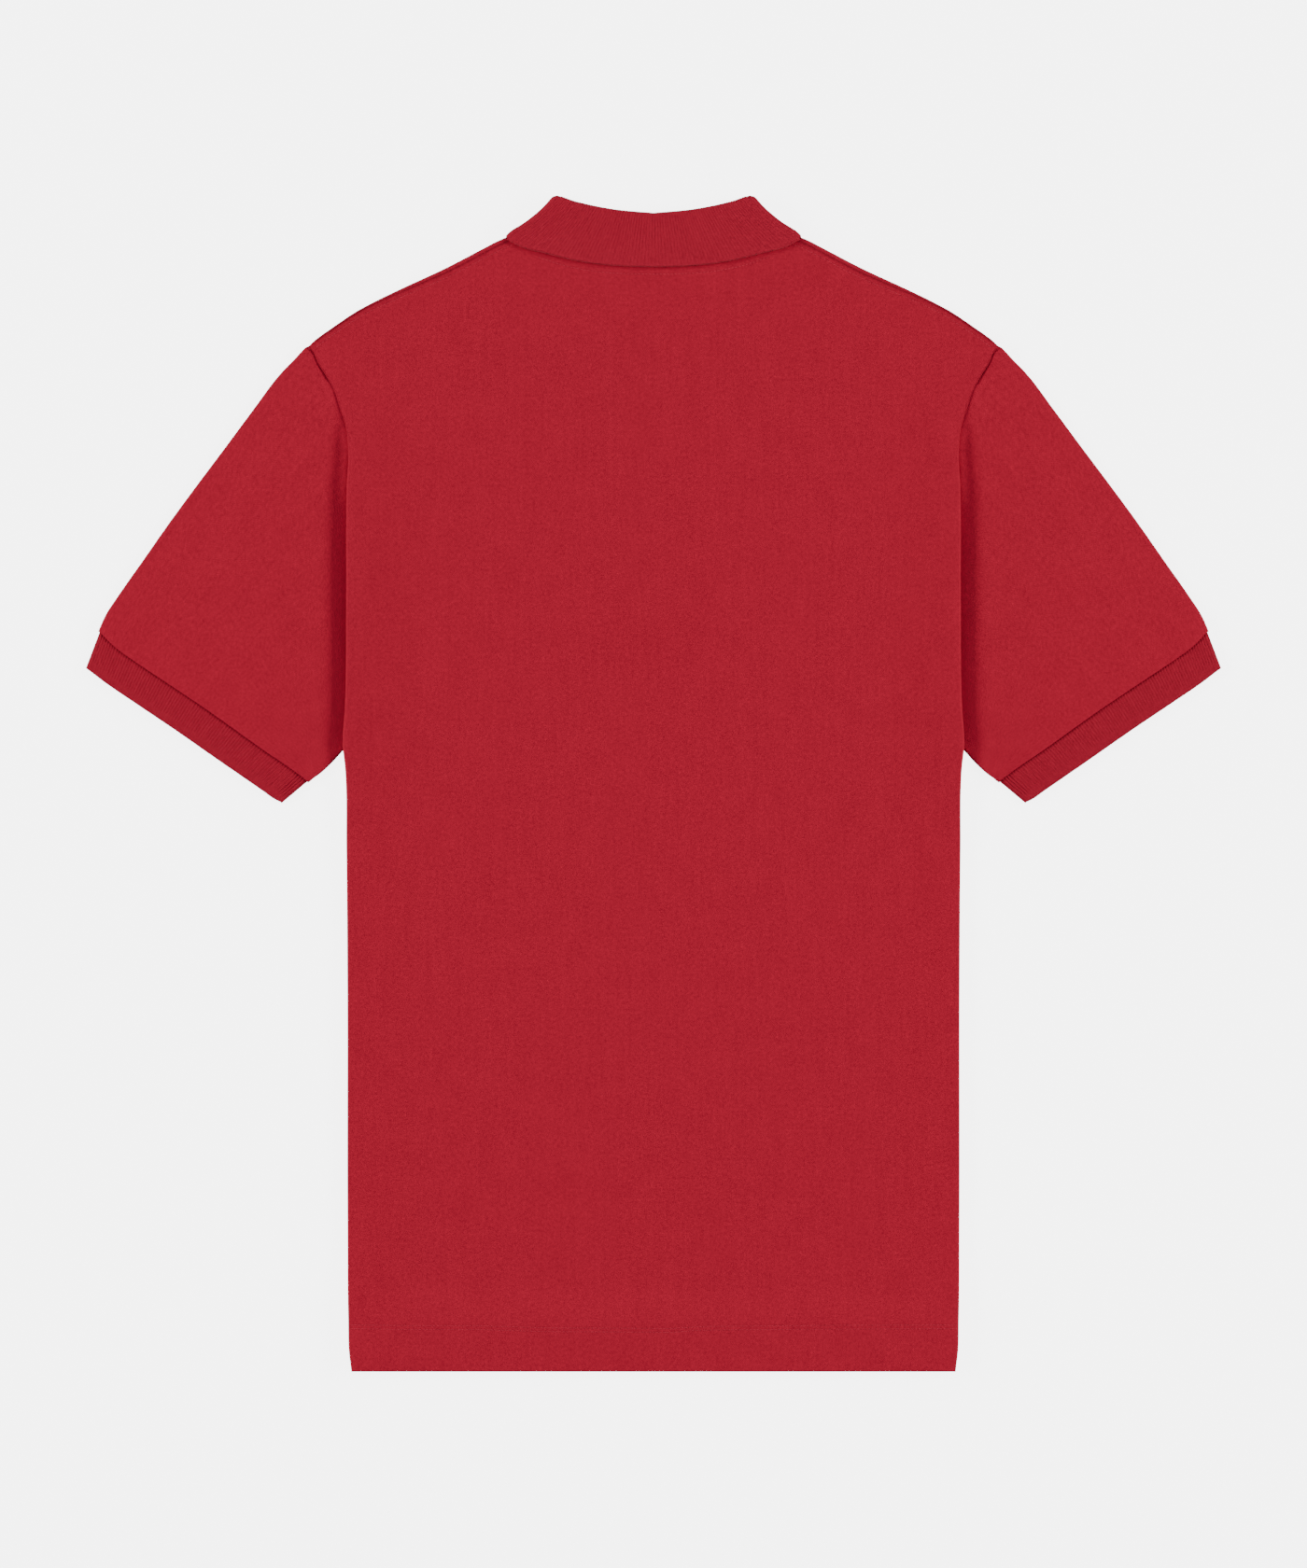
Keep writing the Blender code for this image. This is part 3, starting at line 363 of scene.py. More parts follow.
def shoulder_stitch(past=None):
    """The line of stitches along the left shoulder, or one this far past the seam."""
    share = np.linspace(SHOULDER_STITCH["from"], SHOULDER_STITCH["to"], STITCH_POINTS["shoulder"])
    path = curve(mirrored(SHOULDER), share)
    inset = (SHOULDER_STITCH["inset"] if past is None else EDGE_INSET + past) + eased(SHOULDER_LIP, -path[:, 0])
    return path + sides_of(path) * inset[:, None]


def crease_lift(x, y, table):
    """Height that the soft creases of this table give to a panel."""
    lift = np.zeros(np.shape(x))
    for across, up, turn, length, width, height in table:
        a = math.radians(turn)
        along = (x - across) * math.cos(a) + (y - up) * math.sin(a)
        beside = (y - up) * math.cos(a) - (x - across) * math.sin(a)
        lift += height * np.exp(-((2 * along / length) ** 2) - (beside / width) ** 2)
    return lift


def front_height(x, y):
    """Mid height of the front panel."""
    rise = np.maximum(NECK_FRONT_RISE * neck_lift(x, y), button_lift(x, y))
    return LEVEL[0] + np.maximum(rise, crease_lift(x, y, FRONT_CREASES))


def back_height(x, y):
    """Mid height of the back panel, before its sides are lifted."""
    neck = NECK_BACK_RISE / PLACKET_RISE * neck_lift(x, y)
    hem = smooth((HEM_Y + HEM_DEPTH + HEM_RAMP_END + HEM_RAMP - y) / HEM_RAMP) * (LEVEL[3] - LEVEL[1])
    return LEVEL[1] + PLACKET_RISE * (1 - (1 - neck) * (1 - placket_lift(x, y))) + hem


# ---------------------------------------------------------------- meshes
def make_object(name, points, faces, uv=None, attributes=None):
    """A mesh object at the origin. uv has one pair for each corner, in millimetres of cloth."""
    mesh = bpy.data.meshes.new(name)
    mesh.from_pydata((np.asarray(points) * METRE).tolist(), [], faces)
    if uv is not None:
        mesh.uv_layers.new(name="Cloth").data.foreach_set("uv", np.asarray(uv, float).ravel())
    for key, values in (attributes or {}).items():
        mesh.attributes.new(key, "FLOAT", "POINT").data.foreach_set("value", np.asarray(values, float))
    mesh.shade_smooth()
    made = bpy.data.objects.new(name, mesh)
    bpy.context.scene.collection.objects.link(made)
    return made


def normals_of(grid, closed):
    """A unit normal at each point of a grid, from its neighbours."""
    across = np.gradient(grid, axis=1)
    if closed:
        across = np.roll(grid, -1, axis=1) - np.roll(grid, 1, axis=1)
    normal = np.cross(across, np.gradient(grid, axis=0))
    return normal / np.maximum(np.linalg.norm(normal, axis=2), 1e-9)[..., None]


def wall(name, grid, thickness, cells=None, closed=False, uv=None, attributes=None, flip=False):
    """A closed shell round a grid of mid-surface points. cells marks those that are cloth; closed joins the
    last column to the first, and flip says that the grid's outer side is below it. attributes hold a value
    for each point of the outer side; the inner side gets 0."""
    rows, columns = grid.shape[:2]
    spans = columns if closed else columns - 1
    cells = np.ones((rows - 1, spans), bool) if cells is None else cells
    offset = normals_of(grid, closed) * thickness / 2 * (-1 if flip else 1)
    points = np.concatenate([(grid + offset).reshape(-1, 3), (grid - offset).reshape(-1, 3)])
    uv = grid[..., :2] if uv is None else uv
    number = np.arange(rows * columns).reshape(rows, columns)
    under = rows * columns
    i, j = np.nonzero(cells)
    k = (j + 1) % columns
    right = j + 1 if uv.shape[1] > columns else k
    loops = np.stack([number[i, j], number[i, k], number[i + 1, k], number[i + 1, j]], axis=1)
    corners = np.stack([uv[i, j], uv[i, right], uv[i + 1, right], uv[i + 1, j]], axis=1)
    if flip:
        loops, corners = loops[:, ::-1], corners[:, ::-1]
    edge_uv = {}
    for loop, corner in zip(loops.tolist(), corners):
        for n in range(4):
            edge_uv[(loop[n], loop[(n + 1) % 4])] = (corner[n], corner[(n + 1) % 4])
    rims = [(a, b, *pair) for (a, b), pair in edge_uv.items() if (b, a) not in edge_uv]
    faces = np.concatenate([loops, loops[:, ::-1] + under, [[b, a, a + under, b + under] for a, b, *_ in rims]])
    face_uv = np.concatenate([corners, corners[:, ::-1], [[q, p, p, q] for _, _, p, q in rims]])
    used, faces = np.unique(faces, return_inverse=True)
    values = {
        key: np.concatenate([np.ravel(value), np.zeros(under)])[used] for key, value in (attributes or {}).items()
    }
    faces = faces.reshape(-1, 4).tolist()
    made = make_object(name, points[used], faces, face_uv.reshape(-1, 2), values)
    soften = made.modifiers.new("Soft edges", "BEVEL")
    soften.width, soften.segments = EDGE_ROUNDING * METRE, 2
    soften.limit_method, soften.angle_limit = "ANGLE", math.radians(50)
    return settle(made)


def rolled_end(start, outward, top, radius, turn, lip):
    """Mid-surface points over a rolled edge: an arc down from the top and then straight cloth."""
    turns = np.radians(turn) * np.arange(1, TURN_STEPS + 1) / TURN_STEPS
    flat = [start + outward * radius * math.sin(a) for a in turns]
    high = [top - radius * (1 - math.cos(a)) for a in turns]
    for share in (1 / 3, 2 / 3, 1):
        flat.append(flat[TURN_STEPS - 1] + outward * lip * share * math.cos(turns[-1]))
        high.append(high[TURN_STEPS - 1] - lip * share * math.sin(turns[-1]))
    return np.array([[*p, z] for p, z in zip(flat, high)])


# ---------------------------------------------------------------- body
SHOULDER_CELLS, NECK_CELLS = 24, 26  # along half of a panel's top edge
TOP_ROW = 279.2  # height of a panel's side at the shoulder point
FINE_ROWS = {"hem": 5.0, "top": 12.0}  # how far the close rows reach from the hem's stitches, and down from the top
HEM_FLAT_ROWS, HEM_TURN_ROWS = 10, 7  # of the turned hem, and over its fold


def row_heights():
    """Heights of the body's rows on its side, close together along the hem's stitches."""
    middle = np.mean([row[1] for row in HEM_LINE])
    fine = np.arange(middle - FINE_ROWS["hem"], middle + FINE_ROWS["hem"], FINE_CELL)
    coarse = np.arange(HEM_Y + EDGE_INSET + CELL, TOP_ROW - FINE_ROWS["top"] - 1, CELL)
    coarse = coarse[(coarse < fine[0] - 1) | (coarse > fine[-1] + 1)]
    upper = np.arange(TOP_ROW - FINE_ROWS["top"], TOP_ROW - FINE_CELL / 2, FINE_CELL)
    return np.sort(np.concatenate([[HEM_Y + EDGE_INSET], coarse, fine, upper, [TOP_ROW]]))


def left_edge(heights, shrink):
    """The body's left edge from hem to shoulder point, moved in by shrink, with its outward normals."""
    line = at_heights(mirrored(SIDE + ARMHOLE), heights)
    outward = sides_of(line)
    return line - outward * (np.asarray(shrink) - FULLNESS)[:, None], outward


def armhole_stagger(up):
    """How far the lower layers' armhole seam lies out from the upper layers'."""
    start, low, high = STAGGER_FADE.values()
    ends = 1 - smooth((up - ARMHOLE[-1][1] + high) / high)
    return SEAM_STAGGER * smooth((up - ARMHOLE[0][1] - start) / low) * ends


def shoulder_outs():
    """Distances out from the middle of the shoulder edge's points."""
    return -curve(mirrored(SHOULDER), np.linspace(0, 1, SHOULDER_CELLS + 1))[:, 0]


def top_edge(neck, shrink):
    """The body's top edge from the left shoulder point along the neck seam to the right one."""
    shoulder = curve(mirrored(SHOULDER), np.linspace(0, 1, SHOULDER_CELLS + 1))
    shoulder = (shoulder + sides_of(shoulder) * np.asarray(shrink)[:, None])[::-1]
    knots = mirrored(neck)
    seam = knots - sides_of(knots) * GAP
    seam[-1, 0] = 0.0
    at, share = np.linspace(0, 1, len(seam)), np.linspace(0, 1, NECK_CELLS + 1)
    seam = np.stack([np.interp(share, at, seam[:, 0]), np.interp(share, at, seam[:, 1])], axis=1)
    half = np.concatenate([shoulder, seam[1:]])
    return np.concatenate([half, half[-2::-1] * [-1, 1]])


def body_grid(neck, shoulder_shrink, side_shrink):
    """X and Y of a panel's points, with its side heights and outward normals."""
    heights = row_heights()
    left, outward = left_edge(heights, side_shrink(heights))
    top = top_edge(neck, shoulder_shrink)
    left[-1] = top[0]
    right = left * [-1, 1]
    bottom = np.linspace(left[0], right[0], len(top))
    up = ((heights - heights[0]) / (heights[-1] - heights[0])) ** 3
    return patch(bottom, top, left, right, np.linspace(0, 1, len(top)), up), heights, left, outward


def hem_rows(row, height, turned):
    """Rows of the hem, from its raw edge inside to the fold: the cloth turned up inside the shirt."""
    made = []
    radius = LAYER / 2
    direction = 1 if turned > height else -1
    for back in np.linspace(HEM_DEPTH, 0.0, HEM_FLAT_ROWS):
        made.append([[x, HEM_Y + EDGE_INSET + back, turned] for x in row])
    for angle in np.radians(np.linspace(FOLD_ANGLE, -FOLD_ANGLE, HEM_TURN_ROWS)):
        y = HEM_Y + PIQUE / 2 + radius * (1 - math.cos(angle))
        made.append([[x, y, (height + turned) / 2 + direction * radius * math.sin(angle)] for x in row])
    return np.array(made)


def make_back():
    """The back panel, its sides rolled over to the front and its hem turned up inside."""
    lips = eased(SHOULDER_LIP, shoulder_outs())
    flat, heights, left, outward = body_grid(
        NECK_BACK, lips + SEAM_INSET, lambda up: roll_at(up)["radius"] + PIQUE / 2
    )
    rolls = roll_at(heights)
    x, y = flat[..., 0], flat[..., 1]
    distance = np.abs(left[:, :1]) - np.abs(x)
    lift = (rolls["top"] - back_height(left[:, 0], left[:, 1]))[:, None]
    z = back_height(x, y) + lift * (1 - smooth(distance / ROLL_REACH))
    z += crease_lift(x, y, BACK_CREASES)
    z -= hem_ditch(x, y) + furrow(x, y, neck_stitch()) + furrow(-np.abs(x), y, shoulder_stitch())
    grid = np.concatenate([flat, z[..., None]], axis=2)
    ends = np.array(
        [
            rolled_end(left[i], outward[i], grid[i, 0, 2], *[rolls[name][i] for name in ROLL_COLUMNS[2:]])
            for i in range(len(heights))
        ]
    )
    ends[0, :, 1] -= EDGE_INSET - HEM_CORNER["short"]  # square corners at the hem
    grid = np.concatenate([ends[:, ::-1], grid, ends * [-1, 1, 1]], axis=1)
    lower = hem_rows(grid[0, :, 0], LEVEL[3], LEVEL[2])
    cells = np.ones((len(lower) + len(heights) - 1, grid.shape[1] - 1), bool)
    roll_cells = ends.shape[1]
    cells[: len(lower), :roll_cells] = cells[: len(lower), -roll_cells:] = False
    lower[-HEM_TURN_ROWS:, roll_cells, 0] -= HEM_CORNER["under"]
    lower[-HEM_TURN_ROWS:, -roll_cells - 1, 0] += HEM_CORNER["under"]
    whole = np.concatenate([lower, grid])
    attributes = stitch_places(whole, len(lower), [neck_stitch(), shoulder_stitch(), shoulder_stitch() * [-1, 1]])
    # Painted shade on the roll's steep outer turn from the underarm up, mirrored on the right side
    steep = smooth(np.arange(roll_cells, 0, -1) / ROLL_SHADE["cells"]) * (whole[:, :1, 1] > ARMHOLE[0][1])
    crease = attributes["crease"]
    crease[:, :roll_cells] = np.maximum(crease[:, :roll_cells], ROLL_SHADE["roll"] * steep)
    crease[:, -roll_cells:] = crease[:, roll_cells - 1 :: -1]
    return wall("back_panel", whole, PIQUE, cells, attributes=attributes)


SLOT_REACH = 62.0  # how far from the middle the slot moves the panel's columns


def stitch_places(grid, skip, paths):
    """Attributes of a panel's points past its first rows: seam, which is 1 on a line of stitches and 0 at
    SEAM_REACH from it, stitch, the place along that line, and a painted shade, which is 1 at the shoulder's join."""
    x, y = grid[..., 0], grid[..., 1]
    apart = np.abs(np.abs(y - eased(HEM_LINE, x)) - HEM_ROWS_APART / 2)
    along = x.copy()
    for path in paths:
        passed = np.concatenate([[0], np.cumsum(np.linalg.norm(np.diff(path, axis=0), axis=1))])
        for at, (a, b) in zip(passed, path):
            distance = np.hypot(x - a, y - b)
            near = distance < np.minimum(apart, STITCH_REACH)
            apart, along = np.where(near, distance, apart), np.where(near, at, along)
    seam = 1 - np.clip(apart / SEAM_REACH, 0, 1)
    seam[:skip] = 0
    joined = np.full(x.shape, np.inf)
    for a, b in shoulder_stitch(0.0):
        joined = np.minimum(joined, np.hypot(np.abs(x) + a, y - b))
    return {"seam": seam, "stitch": along, "crease": np.clip(1 - joined / JOIN_SHADE, 0, 1)}


def open_slot(grid):
    """Moves the columns to the placket's edges and one row to its foot, and returns the slot's first row, and
    its first and last columns."""
    half = PLACKET_WIDTH / 2 + GAP
    middle = grid.shape[1] // 2
    first = int(np.argmin(np.abs(grid[:, middle, 1] - PLACKET_FOOT)))
    steps = int(np.argmin(np.abs(grid[first, middle:, 0] - half)))
    for row in grid:
        edge, x = row[middle + steps, 0], np.abs(row[:, 0])
        moved = np.where(x < SLOT_REACH, np.interp(x, [0, edge, SLOT_REACH], [0, half, SLOT_REACH]), x)
        moved *= np.sign(row[:, 0])
        row[:, 1] = np.interp(moved, row[:, 0], row[:, 1])
        row[:, 0] = moved
    grid[first, :, 1] += PLACKET_FOOT - grid[first, middle, 1]
    grid[first, middle - steps : middle + steps + 1, 1] = PLACKET_FOOT
    return first, middle - steps, middle + steps


def shoulder_rows(row):
    """The front's shoulder edge turned over to the back, ending at the shoulder seam."""
    outward = sides_of(row[:, :2])
    outward[SHOULDER_CELLS] = outward[SHOULDER_CELLS - 1]
    outward[-SHOULDER_CELLS - 1] = outward[-SHOULDER_CELLS]
    radius = (back_height(row[:, 0], row[:, 1]) - row[:, 2])[:, None] / 2
    made = []
    for angle in np.radians(np.linspace(0, 180, TURN_STEPS + 1)[1:]):
        flat = row[:, :2] + outward * radius * math.sin(angle)
        made.append(np.concatenate([flat, row[:, 2:] + radius * (1 - math.cos(angle))], axis=1))
    lip = eased(SHOULDER_LIP, np.abs(row[:, 0]))[:, None]
    for share in (0.5, 1):
        made.append(np.concatenate([row[:, :2] - outward * lip * share, row[:, 2:] + radius * 2], axis=1))
    return np.array(made)


def make_front():
    """The front panel, face down, with the opening for the placket."""
    inset = np.full(SHOULDER_CELLS + 1, EDGE_INSET)
    flat, *_ = body_grid(NECK_FRONT, inset, lambda up: GAP / 2 - armhole_stagger(up))
    first, left, right = open_slot(flat)
    z = front_height(flat[..., 0], flat[..., 1])
    grid = np.concatenate([flat, z[..., None]], axis=2)
    lower = hem_rows(grid[0, :, 0], LEVEL[0], LEVEL[1])
    upper = shoulder_rows(grid[-1])
    cells = np.ones((len(lower) + len(grid) + len(upper) - 1, grid.shape[1] - 1), bool)
    cells[: len(lower), :1] = cells[: len(lower), -1:] = False
    cells[-len(upper) :, SHOULDER_CELLS:-SHOULDER_CELLS] = False
    cells[len(lower) + first : -len(upper), left:right] = False
    whole = np.concatenate([lower, grid, upper])
    return wall("front_panel", whole, PIQUE, cells, attributes=stitch_places(whole, len(lower), []), flip=True)


# ---------------------------------------------------------------- sleeves and cuffs
SLEEVE_ROWS = 62
SIDE_BEND = 8  # how steeply an edge's ends bend to the sleeve's sides
SLEEVE_FULLNESS = 0.3  # of the upper layer's middle
SLEEVE_END = {"rise": 0.7, "from": 0.86, "over": 0.1}  # where the sleeve comes up to stand over its cuff
SLEEVE_LOFT = 0.5  # of the upper layer inside its seams
LOFT_FADE = {"ends": 5, "sides": 6}  # it comes up over one part in so many of the sleeve
SLOPE = {"from": 12.0, "to": 225.0, "fade": 30.0, "steepness": 0.029, "rounding": 2.5}  # down to the rolled side
SLOPE_REACH = [(24.0, 9.0), (37.0, 9.0), (77.0, 11.0), (125.0, 14.0), (225.0, 13.5)]  # up, width of that slope
SEAM_RIDGE = {  # of the seam allowance under the sleeve's cloth: its ends up the shirt, height and widths
    "low": 172.0, "low_fade": 20.0, "high": 274.0, "high_fade": 12.0, "height": 1.0,
    "width": 4.5, "wide": 18.0, "wide_from": 222.0, "wide_fade": 25.0,
}  # fmt: skip


def half_ring(start, outward, middle, radius):
    """Points round the side of a flattened tube, from its upper layer to its lower one."""
    turns = np.radians(np.linspace(0, 180, TURN_STEPS + 1)[1:-1])
    return [[*(start + outward * radius * math.sin(a)), middle + radius * math.cos(a)] for a in turns]


def meet_sides(edge, across, sides, place):
    """Bends the ends of an edge so that it starts and ends on the two side lines."""
    for end, side in zip((0, -1), sides):
        share = across if end else 1 - across
        edge += (side[place] - edge[end]) * (share**SIDE_BEND)[:, None]
    return edge


def make_sleeve(name, sign):
    """A sleeve, a flattened tube that goes in under the back's rolled edge."""
    along = np.linspace(0, 1, SLEEVE_ROWS)
    heights = np.linspace(ARMHOLE[-1][1], ARMHOLE[0][1], round((ARMHOLE[-1][1] - ARMHOLE[0][1]) / CELL) + 1)
    across = (heights[0] - heights) / (heights[0] - heights[-1])
    fold = curve(mirrored(SLEEVE_TOP), along)
    fold_out = -sides_of(fold)
    fold -= fold_out * EDGE_INSET
    underarm = curve(mirrored(UNDERARM), along)
    underarm_out = sides_of(underarm)
    underarm -= underarm_out * EDGE_INSET
    cuff_end = curve(mirrored(CUFF_SEAM), across)
    cuff_end = meet_sides(cuff_end, across, (fold, underarm), -1)
    layers = []
    for tucked in (True, False):
        armhole = at_heights(mirrored(ARMHOLE), heights)
        tuck = eased(TUCK, heights, reach=3.0) if tucked else -GAP / 2 - armhole_stagger(heights)
        if not tucked:
            cuff_end = cuff_end - sides_of(cuff_end) * cuff_stagger(across)
        armhole += sides_of(armhole) * tuck[:, None]
        armhole = meet_sides(armhole, across, (fold, underarm), 0)
        layers.append(patch(armhole, cuff_end, fold, underarm, across, along))
    rise = SLEEVE_FULLNESS * np.outer(np.sin(along * math.pi), np.sin(across * math.pi))
    end = smooth((along - SLEEVE_END["from"]) / SLEEVE_END["over"])[:, None]
    ends, sides = LOFT_FADE.values()
    inner = np.outer(smooth((1 - along) * ends), smooth(across * sides) * smooth((1 - across) * sides))
    rise += SLEEVE_LOFT * inner * loft_share(layers[0], along)
    top = LEVEL[1] + rise + SLEEVE_END["rise"] * end + seam_ridge(layers[0])
    rows = []
    for i in range(SLEEVE_ROWS):
        upper = np.column_stack([layers[0][i], top[i]])
        lower = np.column_stack([layers[1][i], np.full(len(heights), LEVEL[0])])[::-1]
        radius = (top[i, 0] - LEVEL[0]) / 2
        middle = LEVEL[0] + radius
        near = half_ring(underarm[i], underarm_out[i], middle, radius)
        far = half_ring(fold[i], fold_out[i], middle, radius)[::-1]
        rows.append(np.concatenate([upper, near, lower, far]))
    grid = np.array(rows)
    # Painted shade on the upper layer beside the back's rolled side; the rest of the ring gets none
    shade = np.zeros(grid.shape[:2])
    shade[:, : len(heights)] = roll_shade(layers[0])
    return wall(name, grid * [sign, 1, 1], PIQUE, None, True, ring_uv(grid), {"crease": shade}, flip=sign > 0)


def cuff_stagger(share):
    """How far the lower layers' cuff seam lies past the upper layers', none at its ends."""
    return SEAM_STAGGER * (smooth(share * CUFF_ENDS) * smooth((1 - share) * CUFF_ENDS))[:, None]


def from_armhole(layer):
    """Distance of a layer's points out from the armhole, along X."""
    return at_heights(mirrored(ARMHOLE), layer[..., 1].ravel())[:, 0].reshape(layer.shape[:2]) - layer[..., 0]


def loft_share(layer, along):
    """How far the sleeve's upper layer has come up from the armhole: at an even slope beside the back's rolled
    side, and slowly above it."""
    low, high, fade, steepness, rounding = SLOPE.values()
    up, reach = layer[..., 1], eased(SLOPE_REACH, layer[..., 1])
    inside = reach - from_armhole(layer)
    left = np.where(inside > rounding, inside, np.maximum(inside + rounding, 0) ** 2 / (4 * rounding))
    weight = smooth((up - low) / fade) * (1 - smooth((up - high + fade) / fade)) * steepness * reach / SLEEVE_LOFT
    return weight * (1 - left / reach) + (1 - weight) * smooth(along * LOFT_FADE["ends"])[:, None]


def roll_shade(layer):
    """How dark the painted shade beside the back's rolled side makes a layer's points."""
    reach, top, fade, foot, most, *_ = ROLL_SHADE.values()
    up = layer[..., 1]
    beside = most * np.exp(-((np.maximum(from_armhole(layer), 0) / reach) ** 2))
    return beside * (1 - smooth((up - top) / fade)) * smooth((up - ARMHOLE[0][1]) / foot)


def seam_ridge(layer):
    """Height that the seam allowance gives to the sleeve's upper layer along the top of the armhole."""
    low, low_fade, high, high_fade, height, width, wide, wide_from, wide_fade = SEAM_RIDGE.values()
    away, up = from_armhole(layer), layer[..., 1]
    width = width + (wide - width) * smooth((up - wide_from) / wide_fade)
    along = smooth((up - low) / low_fade) * (1 - smooth((up - high) / high_fade))
    return height * along * (1 - smooth(away / width)) * (away > -1)


def ring_uv(grid):
    """Places on a tube's cloth in millimetres: round it, and along it."""
    steps = np.linalg.norm(grid - np.roll(grid, 1, axis=1), axis=2)
    around = np.concatenate([[0], np.cumsum(steps[len(grid) // 2][1:]), [steps[len(grid) // 2].sum()]])
    middle = grid[:, grid.shape[1] // 4]
    along = np.concatenate([[0], np.cumsum(np.linalg.norm(np.diff(middle, axis=0), axis=1))])
    return np.stack(np.broadcast_arrays(around[None, :], along[:, None]), axis=2)


CUFF_LAYER_RADIUS = (CUFF_RIB + GAP) / 2
CUFF_ROWS = 22
CUFF_ENDS = 16  # the stagger of its seam comes in over one part in so many of its length
CUFF_BORDER = 5.4  # plain knit along its free edge
CUFF_SHADE = 1.3  # how far from its seam it is painted darker, as painted shade in the seam's fold
# Where the ring is joined: share of its length, over how much, and how much deeper its ribs are there
CUFF_JOIN = {"from": 0.94, "over": 0.02, "more": 0.9}


def make_cuff(name, sign, sizes):
    """A ribbed cuff, a flattened ring with a plain border at its free edge."""
    radius, middle = CUFF_LAYER_RADIUS, CUFF_LAYER_RADIUS + CUFF_RIB / 2
    ribs = round(length_of(CUFF_SEAM) / sizes.rib_pitch)
    margin = (CUFF_LAYER_RADIUS + CUFF_RIB / 2) / length_of(CUFF_EDGE)
    share = margin + (1 - 2 * margin) * np.linspace(0, 1, RIB_POINTS * ribs + 1)
    seam, edge = curve(mirrored(CUFF_SEAM), share), curve(mirrored(CUFF_EDGE), share)
    depths = np.linspace(0, 1, CUFF_ROWS)
    rows = []
    for depth in depths:
        layer = (1 - depth) * seam + depth * edge
        along = (layer[0] - layer[-1]) / np.linalg.norm(layer[0] - layer[-1])
        stagger = (1 - depth) * cuff_stagger(share)
        upper = np.column_stack([layer, np.full(len(layer), middle + radius)])
        lower = np.column_stack([layer - sides_of(layer) * stagger, np.full(len(layer), middle - radius)])[::-1]
        near = half_ring(layer[-1], -along, middle, radius)
        far = half_ring(layer[0], along, middle, radius)[::-1]
        rows.append(np.concatenate([upper, near, lower, far]))
    grid = np.array(rows)
    turn = np.arange(1, TURN_STEPS) / TURN_STEPS * math.pi * radius / sizes.rib_pitch
    phase = np.arange(RIB_POINTS * ribs + 1) / RIB_POINTS
    phase = np.concatenate([phase, ribs + turn, 2 * ribs - phase[::-1] + ribs, 2 * ribs + turn])
    depth_mm = depths * np.linalg.norm(edge - seam, axis=1).mean()
    plain = depth_mm[-1] - CUFF_BORDER
    join = CUFF_JOIN["more"] * smooth((share - CUFF_JOIN["from"]) / CUFF_JOIN["over"])
    join = np.concatenate([join, np.full(TURN_STEPS - 1, join[-1]), join[::-1], np.zeros(TURN_STEPS - 1)])
    # Painted shade darkens the cuff next to its seam, fading out over CUFF_SHADE
    attributes = {
        "rib": np.broadcast_to(phase, grid.shape[:2]),
        "rib_weight": np.outer(border_weight(plain - depth_mm, BORDER_RIBS["cuff"]), 1 + join),
        "crease": np.broadcast_to(np.clip(1 - depth_mm / CUFF_SHADE, 0, 1)[:, None], grid.shape[:2]),
    }
    made = wall(name, grid * [sign, 1, 1], CUFF_RIB, None, True, ring_uv(grid), attributes, flip=sign > 0)
    return raise_ribs(made, sizes, "Cuff rib knit")


# ---------------------------------------------------------------- collar
COLLAR_PLACES = {"left": 0.3, "back": 0.36}  # along the band: left turn and back start, mirrored on the right
COLLAR_MESH = {"front": 270, "turn": 25, "stand": 8, "fold": 9, "leaf": 26}  # points along it, and across it
RIBS_ROW = 5  # of the leaf, which the ribs are counted along


def collar_frame(places):
    """Where the band's fold, leaf edge and seam lie along it, with its outward direction and the leaf's bow."""
    left, back = COLLAR_PLACES["left"], COLLAR_PLACES["back"]
    near = np.minimum(places, 1 - places)
    flip = np.where(places > 0.5, -1.0, 1.0)
    in_front = (near < (left + back) / 2)[:, None]
    front_share, back_share = np.clip(1 - near / left, 0, 1), np.clip((near - back) / (0.5 - back), 0, 1)

    def line(front, behind):
        return np.where(in_front, curve(mirrored(front), front_share), curve(mirrored(behind), back_share))

    def chords(table, share):
        knots, at = mirrored(table), np.linspace(0, 1, len(table))
        return np.stack([np.interp(share, at, knots[:, 0]), np.interp(share, at, knots[:, 1])], axis=1)

    fold, edge = line(FOLD_FRONT, FOLD_BACK), line(LEAF_FRONT, LEAF_BACK)
    seam = np.where(in_front, chords(NECK_FRONT, front_share), chords(NECK_BACK, back_share))
    seam[:, 0] = np.where(near <= left, np.minimum(seam[:, 0], -FOLD_FRONT[-1][0]), seam[:, 0])
    angle = math.pi * np.clip((near - left) / (back - left), 0, 1) - math.pi / 2
    out = np.column_stack([SIDE_OUT[0] * np.cos(angle), SIDE_OUT[1] * np.cos(angle), np.sin(angle)])
    share = np.where(near < left, front_share, back_share)
    bow = -SIDE_OUT * (np.maximum(0.0, 1 - 2 * share) ** 2)[:, None]
    for points in (fold, edge, seam, out, bow):
        points[:, 0] *= flip
    return fold, edge, seam, out, bow


def collar_places(ribs):
    """Places along the whole band, RIB_POINTS for each of the back's ribs."""
    left, back = COLLAR_PLACES["left"], COLLAR_PLACES["back"]
    along_front, along_turn = COLLAR_MESH["front"], COLLAR_MESH["turn"]
    front = [*np.linspace(0, left, along_front), *np.linspace(left, back, along_turn)[1:-1]]
    middle = np.linspace(back, 1 - back, RIB_POINTS * ribs + 1)
    return np.array([*front, *middle, *(1 - place for place in reversed(front))])


def border_weight(inside, least):
    """Strength of the ribs at this distance in from a border, which keeps the least of it."""
    return least + (1 - least) * smooth(inside)


